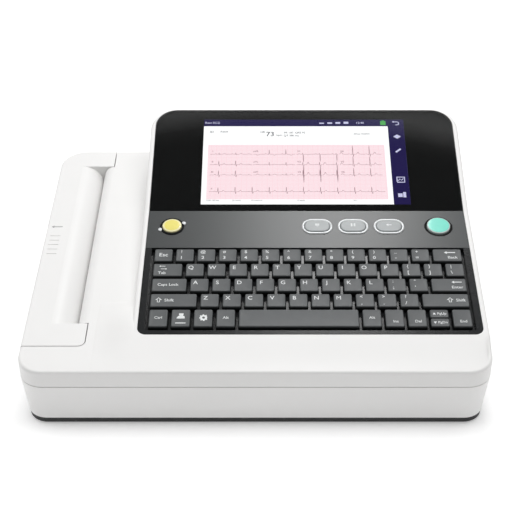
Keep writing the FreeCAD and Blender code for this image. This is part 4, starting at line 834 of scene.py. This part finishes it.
class Apron:
    """Slope that carries the deck up to the console's front edge, round both its corners."""

    def __init__(self):
        low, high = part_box("top_casing")
        self.right, self.front = high.x, low.y
        self.left = extent(local_points("keyboard_bezel", KEYBOARD), 0)[0] - RIM_LEFT
        self.wall = KEYBOARD.translation.y - RIM_FRONT
        self.back = self.wall + REACH_BACK
        near, far = (self.deck_under(y) for y in (self.wall - PROBE, self.wall + PROBE))
        self.rise = (far - near) / (2 * PROBE)
        self.middle = (far + near) / 2

    def deck_under(self, y):
        """Height of the casing between the printer cover and the console."""
        above = Vector((self.left - 16 * MM, y, 0.2))
        hit, place, _, _ = frame["nodes"]["top_casing"].ray_cast(above, DOWN)
        if not hit:
            raise RuntimeError("the casing isn't under the apron")
        return place.z

    def deck(self, y):
        """Height of the deck's slope."""
        return self.middle + self.rise * (y - self.wall)

    def console(self, y):
        """Height of the keyboard's slope."""
        out = KEYBOARD.col[2]
        return KEYBOARD.translation.z - (y - KEYBOARD.translation.y) * out.y / out.z

    def start(self, x):
        """Where a column starts, just inside the console's rim."""
        reach, under = min(x - self.left, self.right - x), EDGE + OVERLAP
        if reach >= CONSOLE_CORNER:
            return self.wall + under
        if reach >= under:
            bow = math.sqrt((CONSOLE_CORNER - under) ** 2 - (CONSOLE_CORNER - reach) ** 2)
            return self.wall + CONSOLE_CORNER - bow
        return self.back if x < 0 else self.wall + CONSOLE_CORNER + under

    def end(self, x):
        """Where a column ends, short of the casing's rounded front edge."""
        short = EDGE + OVERLAP
        past = x - (self.right - BODY_CORNER)
        if past <= 0:
            return self.front + short
        bow = math.sqrt(max(0, (BODY_CORNER - short) ** 2 - past**2))
        return self.front + BODY_CORNER - bow

    def inside(self, x, y):
        """Distance from the casing's outline."""
        past = x - (self.right - BODY_CORNER)
        ahead = self.front + BODY_CORNER - y
        if past > 0 and ahead > 0:
            return BODY_CORNER - math.hypot(past, ahead)
        return min(self.right - x, y - self.front)

    def height(self, x, y):
        """Height of the slope, with the casing's rounded edge taken off it."""
        foot = self.end(x)
        share = min(1, max(0, (y - foot) / (self.wall + EDGE - foot)))
        share = 0.6 * share + 0.4 * eased(share)
        share *= eased((x - self.left + FADE) / FADE)
        turn = self.wall + CONSOLE_CORNER
        share *= 1 - eased((y - turn) / (self.back - turn))
        gap = EDGE - min(EDGE, max(0, self.inside(x, y)))
        drop = EDGE - math.sqrt(EDGE**2 - gap**2)
        return self.deck(y) + (self.console(y) - self.deck(y)) * share + LIFT - drop

    def columns(self):
        """Places across at which the slope is drawn, closer together round the corners."""
        fade = [self.left - FADE + i * FADE / 14 for i in range(15)]
        corner = [self.left + i * CONSOLE_CORNER / 12 for i in range(1, 13)]
        turn = [self.right - BODY_CORNER + i * (BODY_CORNER - EDGE - OVERLAP) / 14 for i in range(15)]
        angles = [math.pi / 2 * i / 8 for i in range(9)]
        edge = [self.right - LIFT - EDGE * (1 - math.sin(angle)) for angle in angles]
        return fade + corner + turn + edge

    def ring(self, x, sunk):
        """Section at one place across: the slope from the console forwards, and back under it."""
        start, line, end = self.start(x), self.wall + EDGE, self.end(x)
        beside, ahead = 12, 16
        slope = [start + (line - start) * i / beside for i in range(1, beside)]
        slope += [line + (end - line) * i / ahead for i in range(ahead + 1)]
        top = [(x, start, self.height(x, start) - HIDDEN)]
        top += [(x, y, self.height(x, y) - sunk) for y in slope]
        top.append((x, end - OVERLAP, self.height(x, end - OVERLAP) - HIDDEN))
        return top + [(x, y, self.deck(y) - EDGE) for _, y, _ in reversed(top)]


def make_apron():
    """Casing in front of the console."""
    apron, mesh = Apron(), Mesh()
    columns = apron.columns()
    mesh.loops([apron.ring(x, HIDDEN if x == columns[0] else 0) for x in columns])
    mesh.piece("console_apron", Matrix(), FINISHES["white_casing"], "machine", "white_casing", True)


# ------------------------------------------------------------------ buttons
BUTTONS = ("power_button", "function_button_1", "function_button_2", "function_button_3", "start_button")
BUTTON_GAP = 0.3 * MM
RING_PROFILE = ((0, -1), (0, -0.35), (0.12, -0.1), (0.3, 0), (0.7, 0), (0.88, -0.1), (1, -0.35), (1, -1))
EARS = ((-9.4 * MM, -3.8 * MM), (9.4 * MM, 3.8 * MM))
EAR_RADIUS = 1.9 * MM


def swollen(x, y, offset, z, round_end):
    """Outline of a pill or a disc moved outwards by an offset."""
    half = min(x[1] - x[0], y[1] - y[0]) / 2
    corner = (half if round_end else half * 0.91) + offset
    return rounded_ring(moved(x, offset), moved(y, offset), z, corner, 12)


def dome(mesh, x, y, radius, low, high, edge):
    """Round cap with a soft edge and a slightly crowned top."""
    rings = [[(px, py, low) for px, py in circle(x, y, radius, 48)]]
    for step in range(6):
        angle = math.pi / 2 * step / 5
        rim = radius - edge * (1 - math.cos(angle))
        rings.append([(px, py, high - edge * (1 - math.sin(angle))) for px, py in circle(x, y, rim, 48)])
    for share in (0.8, 0.5, 0.2):
        rim = (radius - edge) * share
        rise = high + 0.12 * MM * (1 - share**2)
        rings.append([(px, py, rise) for px, py in circle(x, y, rim, 48)])
    mesh.loops(rings)


def make_buttons():
    """Crowned start and power buttons with a painted highlight round their rims, and the rings around all
    five buttons, near black round the two round ones as painted shade.
    """
    soft = {"mottle": (120, 0.03), "grain": (2500, 0.005), "Coat_Weight": 0.3}
    yellow, teal = FINISHES["button_yellow"], FINISHES["button_teal"]
    # painted highlight: each round cap is paler than its coloured face, which covers only its middle,
    # standing in for light caught on the rounded rim
    caps = {
        "power_button": (finish("power_rim_painted_highlight", (0.86, 0.8, 0.45), 0.3, **soft), yellow, 0.4),
        "start_button": (finish("start_rim_painted_highlight", (0.56, 0.64, 0.62), 0.3, **soft), teal, 0.455),
    }
    # painted shade: the rings round the round buttons are near black and barely glossy, standing in for the
    # shadowed gap round them
    dark = finish("ring_painted_shade", (0.01, 0.01, 0.01), 0.6, (150, 0.1), (2500, 0.006), Specular_IOR_Level=0.1)
    hollows, rims = Mesh(), Mesh()
    for node, ring in zip(BUTTONS, solids("button_rings", KEYBOARD, 0)):
        points = local_points(node, KEYBOARD)
        proud = [p for p in points if p.z > 0]
        x, y = extent(proud, 0), extent(proud, 1)
        low, high = extent(points, 2)
        middle_x, middle_y = sum(x) / 2, sum(y) / 2
        is_round = node in caps
        top = extent(ring, 2)[1]
        width = extent(ring, 1)[1] - y[1] - BUTTON_GAP
        (hollows if is_round else rims).hoop([
            swollen(x, y, BUTTON_GAP + width * across, top + down * MM, is_round)
            for across, down in RING_PROFILE
        ])
        if is_round:
            cap = Mesh()
            dome(cap, middle_x, middle_y, (x[1] - x[0]) / 2, low, high - 0.12 * MM, 0.8 * MM)
            rim, colour, share = caps[node]
            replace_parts(cap.piece("cap_" + node, KEYBOARD, rim, node, SLOT_OF_NODE[node], True), node)
            face = Mesh()
            dome(face, middle_x, middle_y, (x[1] - x[0]) * share, high - 0.6 * MM, high, 0.25 * MM)
            face.piece("face_" + node, KEYBOARD, colour, node, SLOT_OF_NODE[node], True)
        if node == "power_button":
            for ear_x, ear_y in EARS:
                dome(rims, middle_x + ear_x, middle_y + ear_y, EAR_RADIUS, 0, top, 0.6 * MM)
    ring = hollows.piece("ring_hollows_painted_shade", KEYBOARD, dark, "machine", "ring_metal", True)
    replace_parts(ring, "button_rings")
    rims.piece("ring_rims", KEYBOARD, FINISHES["ring_metal"], "machine", "ring_metal", True)


def make_button_symbols():
    """Printed symbols on the function buttons."""
    print_pale = finish("symbol_print", (0.7, 0.72, 0.72), 0.5, (400, 0.05), (3000, 0.004))
    drawings = {
        "function_button_1": [rectangle(-1.7, -1.1, 1.7, 1.5), rectangle(-1.0, -1.9, 1.0, -1.4)],
        "function_button_2": [rectangle(-1.9, -1.9, -0.5, 1.9), rectangle(0.5, -1.9, 1.9, 1.9)],
        "function_button_3": [[(-2.4, 0), (-0.4, -1.5), (-0.4, -0.5), (2.2, -0.5), (2.2, 0.5),
                               (-0.4, 0.5), (-0.4, 1.5)]],
    }
    for node, outlines in drawings.items():
        points = local_points(node, KEYBOARD)
        x, y = sum(extent(points, 0)) / 2, sum(extent(points, 1)) / 2 + 0.9 * MM
        top = extent(points, 2)[1]
        mesh = Mesh()
        for outline in outlines:
            mesh.prism(scaled(outline, MM, (x, y)), top - 0.01 * MM, top + 0.03 * MM)
        mesh.piece("symbol_" + node, KEYBOARD, print_pale, node, "button_silver")


ARROW_INWARDS = 8.7 * MM
ARROW_Y = 31 * MM


def make_drawer_arrow():
    """Printed arrow on the printer cover, beside the grip ribs."""
    low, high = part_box("drawer_cover")
    above = Vector((low.x + ARROW_INWARDS, ARROW_Y, high.z + 0.1))
    hit, place, normal, _ = frame["nodes"]["drawer_cover"].ray_cast(above, DOWN)
    if not hit:
        raise RuntimeError("the printer cover isn't under its arrow")
    across = Vector((normal.z, 0, -normal.x)).normalized()
    turn = Matrix((across, normal.cross(across), normal)).transposed().to_4x4()
    deck = Matrix.Translation(place) @ turn
    grey = finish("arrow_print", (0.35, 0.35, 0.35), 0.6, (400, 0.05), (3000, 0.004))
    mesh = Mesh()
    mesh.prism(scaled(ARROW, 1.5 * MM), -0.01 * MM, 0.03 * MM)
    mesh.piece("drawer_arrow", deck, grey, "drawer", "white_casing")


# ------------------------------------------------------------------- studio
# sine of the height above the horizon, and brightness
SKY = ((0.0, 0.6), (0.6, 0.75), (0.74, 0.6), (0.79, 0.35), (0.85, 0.15), (0.862, 1.3), (0.872, 0.2),
       (1.0, 0.08))
SKY_FRONT_BACK = (0.3, 0.8)


def make_sky():
    """Surroundings: dark where the glass mirrors them, bright where the strip and keys do."""
    world = bpy.data.worlds.new("studio")
    world.use_nodes = True
    tree = world.node_tree
    axes = separated(tree, "Generated")
    ramp = tree.nodes.new("ShaderNodeValToRGB")
    while len(ramp.color_ramp.elements) < len(SKY):
        ramp.color_ramp.elements.new(1.0)
    for element, (position, level) in zip(ramp.color_ramp.elements, SKY):
        element.position = position
        element.color = (level, level, level, 1)
    link(tree, axes["Z"], ramp.inputs["Fac"])
    link(tree, ramp.outputs["Color"], tree.nodes["Background"].inputs["Color"])
    strength = ranged(tree, axes["Y"], (-1, 1), SKY_FRONT_BACK)
    link(tree, strength, tree.nodes["Background"].inputs["Strength"])
    bpy.context.scene.world = world


def make_lamp(name, place, tilt, size, power):
    """Rectangular soft lamp, facing down or tilted towards the front, that the glass doesn't mirror."""
    lamp = bpy.data.lights.new(name, "AREA")
    lamp.shape = "RECTANGLE"
    lamp.size, lamp.size_y = size
    lamp.energy = power
    light = bpy.data.objects.new(name, lamp)
    light.location = place
    light.rotation_euler = (math.radians(-tilt), 0, 0)
    bpy.context.scene.collection.objects.link(light)
    spared = bpy.data.collections.new("spared_by_" + name)
    spared.objects.link(frame["nodes"]["display_window"])
    spared.collection_objects[0].light_linking.link_state = "EXCLUDE"
    light.light_linking.receiver_collection = spared


def make_studio():
    """Bright floor, surroundings and two soft lamps."""
    scene = bpy.context.scene
    scene.view_settings.view_transform = "Standard"
    scene.view_settings.look = "None"
    mesh = bpy.data.meshes.new("floor")
    reach = 6.0
    mesh.from_pydata([(x, y, 0) for x, y in rectangle(-reach, -reach, reach, reach)], [], [(0, 1, 2, 3)])
    floor = bpy.data.objects.new("floor", mesh)
    scene.collection.objects.link(floor)
    white = finish("floor_white", (0.93, 0.93, 0.93), 0.8, (3, 0.005), (200, 0.0))
    shader = white.node_tree.nodes["Principled BSDF"]
    shader.inputs["Emission Color"].default_value = (1, 1, 1, 1)
    shader.inputs["Emission Strength"].default_value = 0.3
    mesh.materials.append(white)
    make_sky()
    make_lamp("overhead", (-0.1, 0.08, 1.6), 0, (2.4, 0.9), 22.4)
    make_lamp("behind", (0.15, 1.06, 1.28), 41.4, (0.32, 0.3), 3.9)


def make_camera():
    """Camera in front of and above the machine, looking down at it."""
    camera = bpy.data.cameras.new("camera")
    camera.lens = 86.75
    camera.shift_x = -0.01413
    thing = bpy.data.objects.new("camera", camera)
    thing.location = (0.009, -0.8315, 0.673)
    thing.rotation_euler = (math.radians(90 - 36.92), 0, 0)
    bpy.context.scene.collection.objects.link(thing)
    bpy.context.scene.camera = thing


make_camera()
make_keys()
make_screen()
make_apron()
make_buttons()
make_button_symbols()
make_drawer_arrow()
make_studio()
